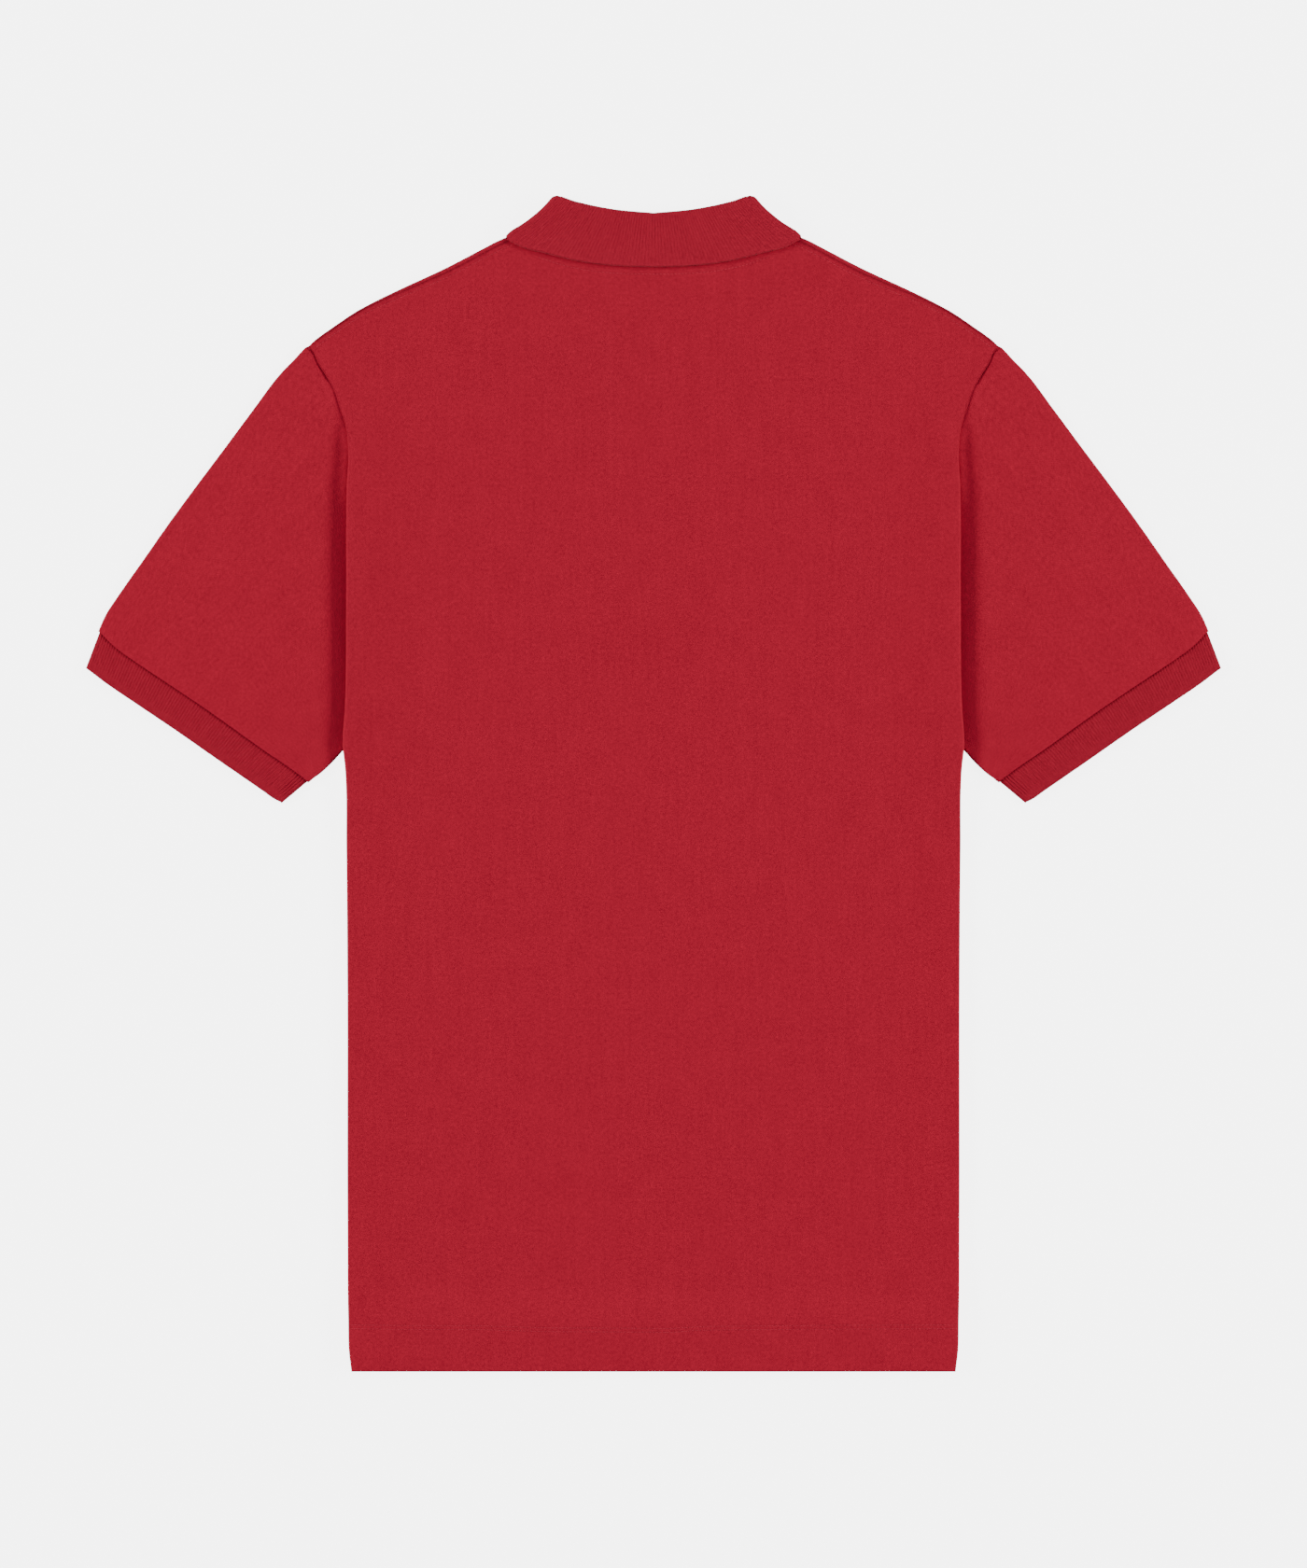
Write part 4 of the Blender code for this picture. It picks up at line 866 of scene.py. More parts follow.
def turn_width(along):
    """How much of its sideways width the turn has at this distance from the fold."""
    least = TURN_ROUNDING["least"]
    width = least + (1 - least) * smooth(np.asarray(along) / TURN_ROUNDING["reach"])
    return width * np.array([1, 1, 0]) + np.array([0, 0, 1])


def make_collar(sizes):
    """The collar, a ribbed band folded into its stand and its leaf."""
    ribs = round((length_of(FOLD_BACK) + length_of(LEAF_BACK)) / sizes.rib_pitch)
    places = collar_places(ribs)
    fold, edge, seam, out, bow = collar_frame(places)
    length = np.linalg.norm(edge - fold, axis=1)[:, None]
    down = (edge - fold) / length
    margin = FOLD_RADIUS + RIB / 2
    middle = np.full((len(places), 1), COLLAR_MID)
    rows, weights = [], []
    for depth in np.linspace(1, 0, COLLAR_MESH["stand"]):
        flat = (1 - depth) * (fold + down * margin) + depth * seam
        width = turn_width(margin + STAND_RUN * depth)
        rows.append(np.concatenate([flat, middle], axis=1) + out * width * STAND_OUT)
        weights.append(0.0 if depth > 0.5 else 1.0)
    for angle in np.radians(np.linspace(-FOLD_ANGLE, FOLD_ANGLE, COLLAR_MESH["fold"])):
        along = margin - FOLD_RADIUS * math.cos(angle)
        away = (STAND_OUT + LEAF_OUT) / 2 + FOLD_RADIUS * math.sin(angle)
        share = along / length
        flat = fold + down * along + bow * eased(LEAF_BOW, share, BOW_REACH)
        rows.append(np.concatenate([flat, middle], axis=1) + out * turn_width(along) * away)
        weights.append(1.0)
    for depth in np.linspace(0, 1, COLLAR_MESH["leaf"])[1:]:
        along = margin + (length - margin) * depth
        share = along / length
        flat = fold + down * along + bow * eased(LEAF_BOW, share, BOW_REACH)
        droop = LEAF_DROOP["drop"] * smooth(1 - (length - along) / LEAF_DROOP["reach"])
        rounded = np.minimum(
            along, TURN_ROUNDING["lower_rate"] * (length - along) + TURN_ROUNDING["lower_start"]
        )
        rows.append(np.concatenate([flat, middle], axis=1) + out * turn_width(rounded) * (LEAF_OUT - droop))
        weights.append(border_weight(length[:, 0] - along[:, 0] - RIB_BORDER, BORDER_RIBS["collar"]))
    grid = np.array(rows)
    weights = np.array([np.broadcast_to(w, len(places)) for w in weights])
    counted = grid[COLLAR_MESH["stand"] + COLLAR_MESH["fold"] + RIBS_ROW]
    steps = np.linalg.norm(np.diff(counted, axis=0), axis=1)
    phase = np.concatenate([[0], np.cumsum(steps)]) / sizes.rib_pitch
    first = int(np.argmin(np.abs(places - COLLAR_PLACES["back"])))
    on_back = np.arange(RIB_POINTS * ribs + 1) / RIB_POINTS
    phase[first : first + len(on_back)] = round(phase[first]) + on_back
    phase[first + len(on_back) :] = phase[first + len(on_back) - 1] + (round(phase[first]) - phase[:first][::-1])
    phase[:first] -= phase[first - 1] - round(phase[first]) + 1 / RIB_POINTS
    attributes = {"rib": np.broadcast_to(phase, grid.shape[:2]), "rib_weight": weights}
    depth_mm = np.concatenate([[0], np.cumsum(np.linalg.norm(np.diff(grid[:, len(places) // 2], axis=0), axis=1))])
    uv = np.stack(np.broadcast_arrays(phase[None, :] * sizes.rib_pitch, depth_mm[:, None]), axis=2)
    made = wall("collar_band", grid, RIB, uv=uv, attributes=attributes, flip=True)
    return raise_ribs(made, sizes, "Collar rib knit")


# ---------------------------------------------------------------- placket and buttons
PLACKET_MESH = {"across": 17, "along": 76}
BUTTON_MESH = {"round": 48, "hole": 16}


def make_placket(name, level):
    """A strap that lies in the front panel's slot, its head against the collar's stand."""
    foot = PLACKET_FOOT + 2 * GAP
    across = np.linspace(-PLACKET_WIDTH / 2, PLACKET_WIDTH / 2, PLACKET_MESH["across"])
    (out, up), (_, middle_up) = NECK_FRONT[-2:]
    head = middle_up - 1.5 * GAP + (up - middle_up) * np.abs(across) / out
    share = np.linspace(0, 1, PLACKET_MESH["along"])[:, None]
    x, y = across + 0 * share, foot + (head - foot) * share
    top_rise = NECK_FRONT_RISE * smooth((y - PLACKET_TOP + PLACKET_RAMP) / (PLACKET_RAMP + 1))
    z = LEVEL[level] + level * PLACKET_SLACK + np.maximum(button_lift(x, y), top_rise)
    return wall(name, np.stack([x, y, z], axis=2), PIQUE, flip=True)


def make_button(name, drop):
    """A turned button with four holes, its dished face down on the surface."""
    rim, dish, face = 0.8, 0.35, 1.6
    profile = [  # out, up
        (0.0, dish), (BUTTON_RADIUS - face, dish), (BUTTON_RADIUS - 1.2, 0.14), (BUTTON_RADIUS - rim, 0.0),
        (BUTTON_RADIUS - 0.4, 0.04), (BUTTON_RADIUS - 0.1, 0.3), (BUTTON_RADIUS, 0.6),
        (BUTTON_RADIUS - 0.12, 1.2), (BUTTON_RADIUS - 0.4, BUTTON_THICKNESS), (0.0, BUTTON_THICKNESS),
    ]  # fmt: skip
    steps = BUTTON_MESH["round"]
    turns = np.arange(steps) * 2 * math.pi / steps
    centre_y = PLACKET_TOP - drop
    points = [(0.0, centre_y, dish)]
    points += [(r * math.cos(a), centre_y + r * math.sin(a), z) for r, z in profile[1:-1] for a in turns]
    points.append((0.0, centre_y, BUTTON_THICKNESS))
    faces = []
    for n in range(steps):
        k = (n + 1) % steps
        faces.append([0, 1 + k, 1 + n])
        for ring in range(len(profile) - 3):
            a = 1 + ring * steps
            faces.append([a + n, a + k, a + steps + k, a + steps + n])
        last = 1 + (len(profile) - 3) * steps
        faces.append([last + n, last + k, len(points) - 1])
    made = make_object(name, points, faces)
    drill = bmesh.new()
    radius, depth = BUTTON_HOLES["radius"] * METRE, BUTTON_HOLES["drill"] * METRE
    out = BUTTON_HOLES["out"]
    for x, y in ((-1, -1), (1, -1), (1, 1), (-1, 1)):
        hole = bmesh.ops.create_cone(
            drill, cap_ends=True, segments=BUTTON_MESH["hole"], radius1=radius, radius2=radius, depth=depth
        )
        place = Vector((x * out, centre_y + y * out, BUTTON_THICKNESS / 2)) * METRE
        bmesh.ops.translate(drill, verts=hole["verts"], vec=place)
    cutter = make_object(name + "_drill", [], [])
    drill.to_mesh(cutter.data)
    drill.free()
    cut = made.modifiers.new("Holes", "BOOLEAN")
    cut.object, cut.operation, cut.solver = cutter, "DIFFERENCE", "EXACT"
    settle(made)
    bpy.data.objects.remove(cutter)
    made.data.shade_smooth()
    made.data.set_sharp_from_angle(angle=math.radians(40))
    return made


# ---------------------------------------------------------------- node trees
def fill_inputs(tree, node, inputs):
    """Fills or links a node's inputs, which come in order or by name. A node given as an input stands for its
    first output."""
    for key, value in inputs.items() if isinstance(inputs, dict) else enumerate(inputs):
        if isinstance(value, bpy.types.Node):
            value = value.outputs[0]
        if isinstance(value, bpy.types.NodeSocket):
            tree.links.new(value, node.inputs[key])
        else:
            node.inputs[key].default_value = value


def add_node(tree, kind, inputs=(), **settings):
    """Adds a node, sets its options, and fills its inputs."""
    node = tree.nodes.new(kind)
    for key, value in settings.items():
        setattr(node, key, value)
    fill_inputs(tree, node, inputs)
    return node


def new_tree(name, sockets):
    """A geometry node tree with a geometry in and out, and these named inputs: (name, kind, default)."""
    tree = bpy.data.node_groups.new(name, "GeometryNodeTree")
    tree.interface.new_socket("Geometry", in_out="INPUT", socket_type="NodeSocketGeometry")
    tree.interface.new_socket("Geometry", in_out="OUTPUT", socket_type="NodeSocketGeometry")
    for label, kind, default in sockets:
        socket = tree.interface.new_socket(label, in_out="INPUT", socket_type=kind)
        if default is not None:
            socket.default_value = default
    return tree, tree.nodes.new("NodeGroupInput"), tree.nodes.new("NodeGroupOutput")


def settle(made):
    """Turns an object and its modifiers into a plain mesh."""
    graph = bpy.context.evaluated_depsgraph_get()
    mesh = bpy.data.meshes.new_from_object(made.evaluated_get(graph), depsgraph=graph)
    mesh.name = made.name
    made.modifiers.clear()
    made.data = mesh
    return made


def run_tree(made, tree, values):
    """Runs a geometry node tree on an object with these inputs, and settles it."""
    modifier = made.modifiers.new(tree.name, "NODES")
    modifier.node_group = tree
    for item in tree.interface.items_tree:
        if item.item_type == "SOCKET" and item.in_out == "INPUT" and item.name in values:
            modifier[item.identifier] = values[item.name]
    return settle(made)


def rib_tree():
    """Ribs: sinks the cloth between whole numbers of the rib attribute."""
    if "Ribs" in bpy.data.node_groups:
        return bpy.data.node_groups["Ribs"]
    tree, start, end = new_tree(
        "Ribs",
        [
            ("Height", "NodeSocketFloat", 0.0002),
            ("Roundness", "NodeSocketFloat", RIB_ROUNDNESS),
            ("Material", "NodeSocketMaterial", None),
        ],
    )
    rib = add_node(tree, "GeometryNodeInputNamedAttribute", {"Name": "rib"}, data_type="FLOAT")
    weight = add_node(tree, "GeometryNodeInputNamedAttribute", {"Name": "rib_weight"}, data_type="FLOAT")
    turn = add_node(tree, "ShaderNodeMath", (rib, math.pi), operation="MULTIPLY")
    wave = add_node(tree, "ShaderNodeMath", (turn,), operation="SINE")
    ridge = add_node(tree, "ShaderNodeMath", (wave,), operation="ABSOLUTE")
    ridge = add_node(tree, "ShaderNodeMath", (ridge, start.outputs["Roundness"]), operation="POWER")
    ridge = add_node(tree, "ShaderNodeMath", (ridge, 1.0), operation="SUBTRACT")
    depth = add_node(tree, "ShaderNodeMath", (ridge, weight), operation="MULTIPLY")
    depth = add_node(tree, "ShaderNodeMath", (depth, start.outputs["Height"]), operation="MULTIPLY")
    normal = add_node(tree, "GeometryNodeInputNormal")
    offset = add_node(tree, "ShaderNodeVectorMath", {0: normal, "Scale": depth}, operation="SCALE")
    moved = add_node(tree, "GeometryNodeSetPosition", {"Geometry": start, "Offset": offset})
    dressed = add_node(tree, "GeometryNodeSetMaterial", {"Geometry": moved, "Material": start.outputs["Material"]})
    tree.links.new(dressed.outputs[0], end.inputs[0])
    return tree


def raise_ribs(made, sizes, material):
    """Gives a piece its ribs and its material."""
    values = {"Height": sizes.rib_height * METRE, "Roundness": RIB_ROUNDNESS, "Material": material_of(material)}
    return run_tree(made, rib_tree(), values)


def stitch_tree():
    """Stitches: short threads along a path, each sunk at its ends."""
    if "Stitches" in bpy.data.node_groups:
        return bpy.data.node_groups["Stitches"]
    tree, start, end = new_tree(
        "Stitches",
        [
            ("Pitch", "NodeSocketFloat", 0.0023),
            ("Length", "NodeSocketFloat", 0.0019),
            ("Thickness", "NodeSocketFloat", 0.0004),
            ("Lean", "NodeSocketFloat", 0.0),
            ("Material", "NodeSocketMaterial", None),
        ],
    )
    path = add_node(tree, "GeometryNodeMeshToCurve", {"Mesh": start})
    dots = add_node(
        tree, "GeometryNodeCurveToPoints", {"Curve": path, "Length": start.outputs["Pitch"]}, mode="LENGTH"
    )
    ball = add_node(tree, "GeometryNodeMeshUVSphere", {"Segments": 8, "Rings": 6, "Radius": 0.5})
    thickness = start.outputs["Thickness"]
    size = add_node(tree, "ShaderNodeCombineXYZ", (start.outputs["Length"], thickness, thickness))
    thread = add_node(tree, "GeometryNodeTransform", {"Geometry": ball, "Scale": size})
    face = add_node(tree, "FunctionNodeAlignRotationToVector", {"Vector": dots.outputs["Tangent"]}, axis="X")
    angle = add_node(tree, "ShaderNodeCombineXYZ", {"Z": start.outputs["Lean"]})
    lean = add_node(
        tree, "FunctionNodeRotateRotation", {"Rotation": face, "Rotate By": angle}, rotation_space="GLOBAL"
    )
    placed = add_node(
        tree, "GeometryNodeInstanceOnPoints", {"Points": dots, "Instance": thread, "Rotation": lean}
    )
    real = add_node(tree, "GeometryNodeRealizeInstances", {"Geometry": placed})
    dressed = add_node(tree, "GeometryNodeSetMaterial", {"Geometry": real, "Material": start.outputs["Material"]})
    tree.links.new(dressed.outputs[0], end.inputs[0])
    return tree


def on_cloth(paths, cloths, above=True, sink=0.05):
    """Lays paths of X and Y on what shows of these pieces from above or below, a little sunk."""
    trees = []
    for mesh in (cloth.data for cloth in cloths):
        trees.append(BVHTree.FromPolygons([v.co for v in mesh.vertices], [p.vertices for p in mesh.polygons]))
    start, way = (1.0, -1) if above else (-1.0, 1)
    laid = []
    for path in paths:
        points = []
        for x, y in path:
            hits = [tree.ray_cast(Vector((x * METRE, y * METRE, start)), Vector((0, 0, way)))[0] for tree in trees]
            heights = [hit.z / METRE for hit in hits if hit]
            if heights:
                points.append((x, y, (max if above else min)(heights) + way * sink))
        laid.append(points)
    return laid


def sew(name, paths, sizes, lean=0.0, pitch=None, length=0.82):
    """Stitches along paths of points, with this distance from one to the next, and length as a share of it."""
    points, edges = [], []
    for path in paths:
        start = len(points)
        points += path
        edges += [(n, n + 1) for n in range(start, len(points) - 1)]
    made = make_object(name, [], [])
    made.data.from_pydata((np.asarray(points) * METRE).tolist(), edges, [])
    pitch = sizes.stitch_pitch if pitch is None else pitch
    values = {
        "Pitch": pitch * METRE,
        "Length": pitch * length * METRE,
        "Thickness": sizes.thread * METRE,
        "Lean": lean,
        "Material": material_of("Sewing thread"),
    }
    run_tree(made, stitch_tree(), values)
    made.data.shade_smooth()
    return made


# ---------------------------------------------------------------- materials
def linear(hex_colour):
    """An sRGB hex colour as linear red, green and blue."""
    parts = [int(hex_colour[n : n + 2], 16) / 255 for n in (1, 3, 5)]
    return [c / 12.92 if c <= 0.04045 else ((c + 0.055) / 1.055) ** 2.4 for c in parts]


def new_material(name):
    """A material, its tree and its shader."""
    made = bpy.data.materials.new(name)
    made.use_nodes = True
    tree = made.node_tree
    return made, tree, tree.nodes["Principled BSDF"]


def wave_along(tree, place, spacing):
    """A sine along a coordinate, one turn for each spacing."""
    turn = add_node(tree, "ShaderNodeMath", (place, 2 * math.pi / spacing), operation="MULTIPLY")
    return add_node(tree, "ShaderNodeMath", (turn,), operation="SINE")


def needle_holes(tree):
    """Round pits at each stitch of a seam, from the seam and stitch attributes, which the knit's bump sinks and its
    painted shade darkens.
    """
    pitch = bpy.context.scene.shirt_sizes.stitch_pitch
    seam = add_node(tree, "ShaderNodeAttribute", attribute_name="seam").outputs["Fac"]
    stitch = add_node(tree, "ShaderNodeAttribute", attribute_name="stitch").outputs["Fac"]
    away = add_node(tree, "ShaderNodeMath", (1.0, seam), operation="SUBTRACT")
    away = add_node(tree, "ShaderNodeMath", (away, SEAM_REACH / NEEDLE_HOLE["across"]), operation="MULTIPLY")
    squared = add_node(tree, "ShaderNodeMath", (away, away), operation="MULTIPLY")
    across = add_node(tree, "ShaderNodeMath", (NEEDLE_HOLE["fall"], squared), operation="POWER")
    turn = add_node(tree, "ShaderNodeMath", (stitch, 2 * math.pi / pitch), operation="MULTIPLY")
    along = add_node(tree, "ShaderNodeMath", (turn,), operation="COSINE")
    along = add_node(tree, "ShaderNodeMath", (along, 0.5, 0.5), operation="MULTIPLY_ADD")
    return add_node(tree, "ShaderNodeMath", (across, along), operation="MULTIPLY")


def rib_furrows(tree):
    """Furrows between ribs, from the rib and rib_weight attributes, which the knit's bump sinks and its painted shade
    darkens.
    """
    rib = add_node(tree, "ShaderNodeAttribute", attribute_name="rib").outputs["Fac"]
    weight = add_node(tree, "ShaderNodeAttribute", attribute_name="rib_weight").outputs["Fac"]
    turn = add_node(tree, "ShaderNodeMath", (rib, math.pi), operation="MULTIPLY")
    wave = add_node(tree, "ShaderNodeMath", (turn,), operation="SINE")
    ridge = add_node(tree, "ShaderNodeMath", (wave,), operation="ABSOLUTE")
    ridge = add_node(tree, "ShaderNodeMath", (ridge, RIB_ROUNDNESS), operation="POWER")
    furrow = add_node(tree, "ShaderNodeMath", (1.0, ridge), operation="SUBTRACT")
    return add_node(tree, "ShaderNodeMath", (furrow, weight), operation="MULTIPLY")


# Looks of the knit on its cloth. The noises' scales are in turns per millimetre.
KNIT_DRIFT = 1.6  # how far its wales and courses wander, in millimetres
KNIT_NOISES = {  # scale, detail, roughness, and share in the shade
    "fibres": (2.6, 3.0, 0.6, 0.2),
    "grains": (0.5, 3.0, 0.7, 0.5),
    "clouds": (0.06, 4.0, 0.6, 0.12),
}
STREAKS = {"across": 0.3, "along": 0.02, "share": 0.1}  # faint lines along the wales
FIBRE_HEIGHT = 0.8  # of the loops' own height
HOLLOW_DEPTH = 2.0  # of the same
LOOP_SHADE = 0.03  # how much lighter a loop is painted than the cloth between: painted light on the raised loops
PAINTED_SHADE_STRENGTH = 0.4  # how much the painted shade darkens the colour where it is strongest


def knit_material(name, colour, spacing, depth, mottle, marks, hollow_painted_shade):
    """Combed cotton knit. spacing is the wales' and courses', in millimetres; depth the loops' height; marks
    makes the hollows in it, and the last argument is how much darker they are painted, as painted shade."""
    made, tree, shader = new_material(name)
    cloth = add_node(tree, "ShaderNodeUVMap", uv_map="Cloth")
    drift = add_node(tree, "ShaderNodeTexNoise", {"Vector": cloth, "Scale": 0.45, "Detail": 2.0}).outputs["Color"]
    sway = (KNIT_DRIFT, KNIT_DRIFT, 0.0)
    bent = add_node(tree, "ShaderNodeVectorMath", (drift, sway, cloth), operation="MULTIPLY_ADD")
    split = add_node(tree, "ShaderNodeSeparateXYZ", (bent,))
    wales = wave_along(tree, split.outputs[0], spacing[0])
    courses = wave_along(tree, split.outputs[1], spacing[1])
    cells = add_node(tree, "ShaderNodeMath", (wales, courses), operation="MULTIPLY")
    noises = {}
    for key, (scale, detail, roughness, share) in KNIT_NOISES.items():
        values = {"Vector": cloth, "Scale": scale, "Detail": detail, "Roughness": roughness}
        noises[key] = (add_node(tree, "ShaderNodeTexNoise", values), share)
    stretch = {"Vector": cloth, "Scale": (STREAKS["across"], STREAKS["along"], 1.0)}
    streaks = add_node(tree, "ShaderNodeMapping", stretch)
    streaks = add_node(tree, "ShaderNodeTexNoise", {"Vector": streaks, "Scale": 1.0, "Detail": 3.0})
    noises["streaks"] = (streaks, STREAKS["share"])
    shade = 1.0
    for key in ("grains", "fibres", "streaks", "clouds"):
        noise, share = noises[key]
        centred = add_node(tree, "ShaderNodeMath", (noise, 0.5), operation="SUBTRACT")
        shade = add_node(tree, "ShaderNodeMath", (centred, share * mottle, shade), operation="MULTIPLY_ADD")
    shade = add_node(tree, "ShaderNodeMath", (cells, LOOP_SHADE, shade), operation="MULTIPLY_ADD")
    hollow = marks(tree)
    # Painted shade: the colour is painted darker in the marked hollows and by each piece's shade attribute
    crease = add_node(tree, "ShaderNodeAttribute", attribute_name="crease").outputs["Fac"]
    for mark, strength in ((hollow, hollow_painted_shade), (crease, PAINTED_SHADE_STRENGTH)):
        left = add_node(tree, "ShaderNodeMath", (mark, -strength, 1.0), operation="MULTIPLY_ADD")
        shade = add_node(tree, "ShaderNodeMath", (shade, left), operation="MULTIPLY")
    height = add_node(tree, "ShaderNodeMath", (noises["fibres"][0], FIBRE_HEIGHT, cells), operation="MULTIPLY_ADD")
    height = add_node(tree, "ShaderNodeMath", (hollow, -HOLLOW_DEPTH, height), operation="MULTIPLY_ADD")
    bump = add_node(tree, "ShaderNodeBump", {"Height": height, "Strength": 1.0, "Distance": depth * METRE})
    looks = {
        "Base Color": add_node(tree, "ShaderNodeHueSaturation", {"Value": shade, "Color": (*colour, 1)}),
        "Normal": bump,
        "Roughness": 0.9,
        "Specular IOR Level": 0.06,
        "Sheen Weight": 0.08,
        "Sheen Roughness": 0.4,
        "Sheen Tint": (1.0, 0.25, 0.3, 1),
    }
    fill_inputs(tree, shader, looks)
    return made


def thread_material(name, colour):
    """Spun polyester sewing thread: a fine twist with a slight gloss."""
    made, tree, shader = new_material(name)
    place = add_node(tree, "ShaderNodeTexCoord").outputs["Object"]
    strands = {"Vector": place, "Scale": 1500.0, "Distortion": 1.0}
    twist = add_node(tree, "ShaderNodeTexWave", strands, bands_direction="DIAGONAL").outputs["Fac"]
    bump = add_node(tree, "ShaderNodeBump", {"Height": twist, "Strength": 0.4, "Distance": 0.05 * METRE})
    noise = add_node(tree, "ShaderNodeTexNoise", {"Vector": place, "Scale": 220.0})
    value = add_node(tree, "ShaderNodeMapRange", {"Value": noise, "To Min": 0.9, "To Max": 1.1})
    tint = add_node(tree, "ShaderNodeHueSaturation", {"Value": value, "Color": (*colour, 1)})
    fill_inputs(tree, shader, {"Base Color": tint, "Normal": bump, "Roughness": 0.6, "Specular IOR Level": 0.2})
    return made


def resin_material(name, colour):
    """Cast polyester resin: polished, with faint clouds."""
    made, tree, shader = new_material(name)
    place = add_node(tree, "ShaderNodeTexCoord").outputs["Object"]
    clouds = add_node(tree, "ShaderNodeTexNoise", {"Vector": place, "Scale": 420.0, "Detail": 4.0, "Distortion": 1.5})
    value = add_node(tree, "ShaderNodeMapRange", {"Value": clouds, "To Min": 0.8, "To Max": 1.25})
    tint = add_node(tree, "ShaderNodeHueSaturation", {"Value": value, "Color": (*colour, 1)})
    scratches = add_node(tree, "ShaderNodeTexNoise", {"Vector": place, "Scale": 2500.0})
    bump = add_node(tree, "ShaderNodeBump", {"Height": scratches, "Strength": 0.1, "Distance": 0.02 * METRE})
    fill_inputs(tree, shader, {"Base Color": tint, "Normal": bump, "Roughness": 0.28, "IOR": 1.54})
    return made


def paper_material(name, colour):
    """Seamless studio paper, lit evenly from below its coating so that it stays white."""
    made, tree, shader = new_material(name)
    place = add_node(tree, "ShaderNodeTexCoord").outputs["Object"]
    grain = add_node(tree, "ShaderNodeTexNoise", {"Vector": place, "Scale": 900.0})
    looks = {
        "Base Color": (*colour, 1),
        "Normal": add_node(tree, "ShaderNodeBump", {"Height": grain, "Strength": 0.05, "Distance": 0.1 * METRE}),
        "Roughness": 0.9,
        "Emission Color": (1, 1, 1, 1),
        "Emission Strength": PAPER_GLOW,
    }
    fill_inputs(tree, shader, looks)
    return made


def material_of(name):
    """The material of this name, made when it is first asked for."""
    if name in bpy.data.materials:
        return bpy.data.materials[name]
    sizes, colours = bpy.context.scene.shirt_sizes, bpy.context.scene.shirt_colours
    # Pique is knitted in small raised cells. The real ones are 0.9 by 0.7 mm and are drawn a little coarser.
    if name == "Cotton pique":
        return knit_material(name, colours.pique, (sizes.wale, sizes.wale * 0.8), 0.04, 1.5, needle_holes, 0.2)
    # Rib knit is smoother between its ribs, and its courses show as fine rungs.
    for rib_name, colour in (("Collar rib knit", colours.collar), ("Cuff rib knit", colours.cuff)):
        if name == rib_name:
            return knit_material(name, colour, (sizes.rib_pitch, sizes.wale * 0.7), 0.06, 1.0, rib_furrows, 0.12)
    if name == "Sewing thread":
        return thread_material(name, colours.thread)
    if name == "Polyester resin":
        return resin_material(name, colours.button)
    return paper_material(name, colours.paper)


def dress(made, nodes, material):
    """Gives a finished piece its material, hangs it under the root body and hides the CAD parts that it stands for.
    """
    if not made.data.materials:
        made.data.materials.append(material_of(material))
    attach(made, "root")
    if nodes:
        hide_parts(*nodes)


# ---------------------------------------------------------------- properties
def size_property(name, description, default):
    """A size in millimetres."""
    return FloatProperty(name=name, description=description, default=default, min=0.01)


def colour_property(name, description, default):
    """A colour, given as sRGB hex."""
    colour = linear(default)
    return FloatVectorProperty(name=name, description=description, default=colour, subtype="COLOR", min=0, max=1)


class ShirtSizes(bpy.types.PropertyGroup):
    rib_height: size_property("Rib height", "Depth of the furrows between ribs, in mm", 0.22)
    rib_pitch: size_property("Rib pitch", "Distance from rib to rib, in mm", 1.95)
    stitch_pitch: size_property("Stitch pitch", "Distance from stitch to stitch, in mm", 2.3)
    thread: size_property("Thread", "Thickness of the sewing thread as it lies, in mm", 0.45)
    wale: size_property("Wale spacing", "Distance between the knit's wales, in mm", 1.25)


class ShirtColours(bpy.types.PropertyGroup):
    pique: colour_property("Pique", "Body and sleeves", "#B11E35")
    # The collar and cuffs are one rib knit: the collar's colour is painted lighter than the cuffs', as painted light
    # against the shade between its ribs
    collar: colour_property("Collar rib", "Collar", "#AE2036")
    cuff: colour_property("Cuff rib", "Cuffs", "#A71E33")
    thread: colour_property("Thread", "Sewing thread", "#C02B43")
    button: colour_property("Button", "Buttons", "#8C1F2B")
    paper: colour_property("Paper", "Surface that the shirt lies on", "#F4F4F4")


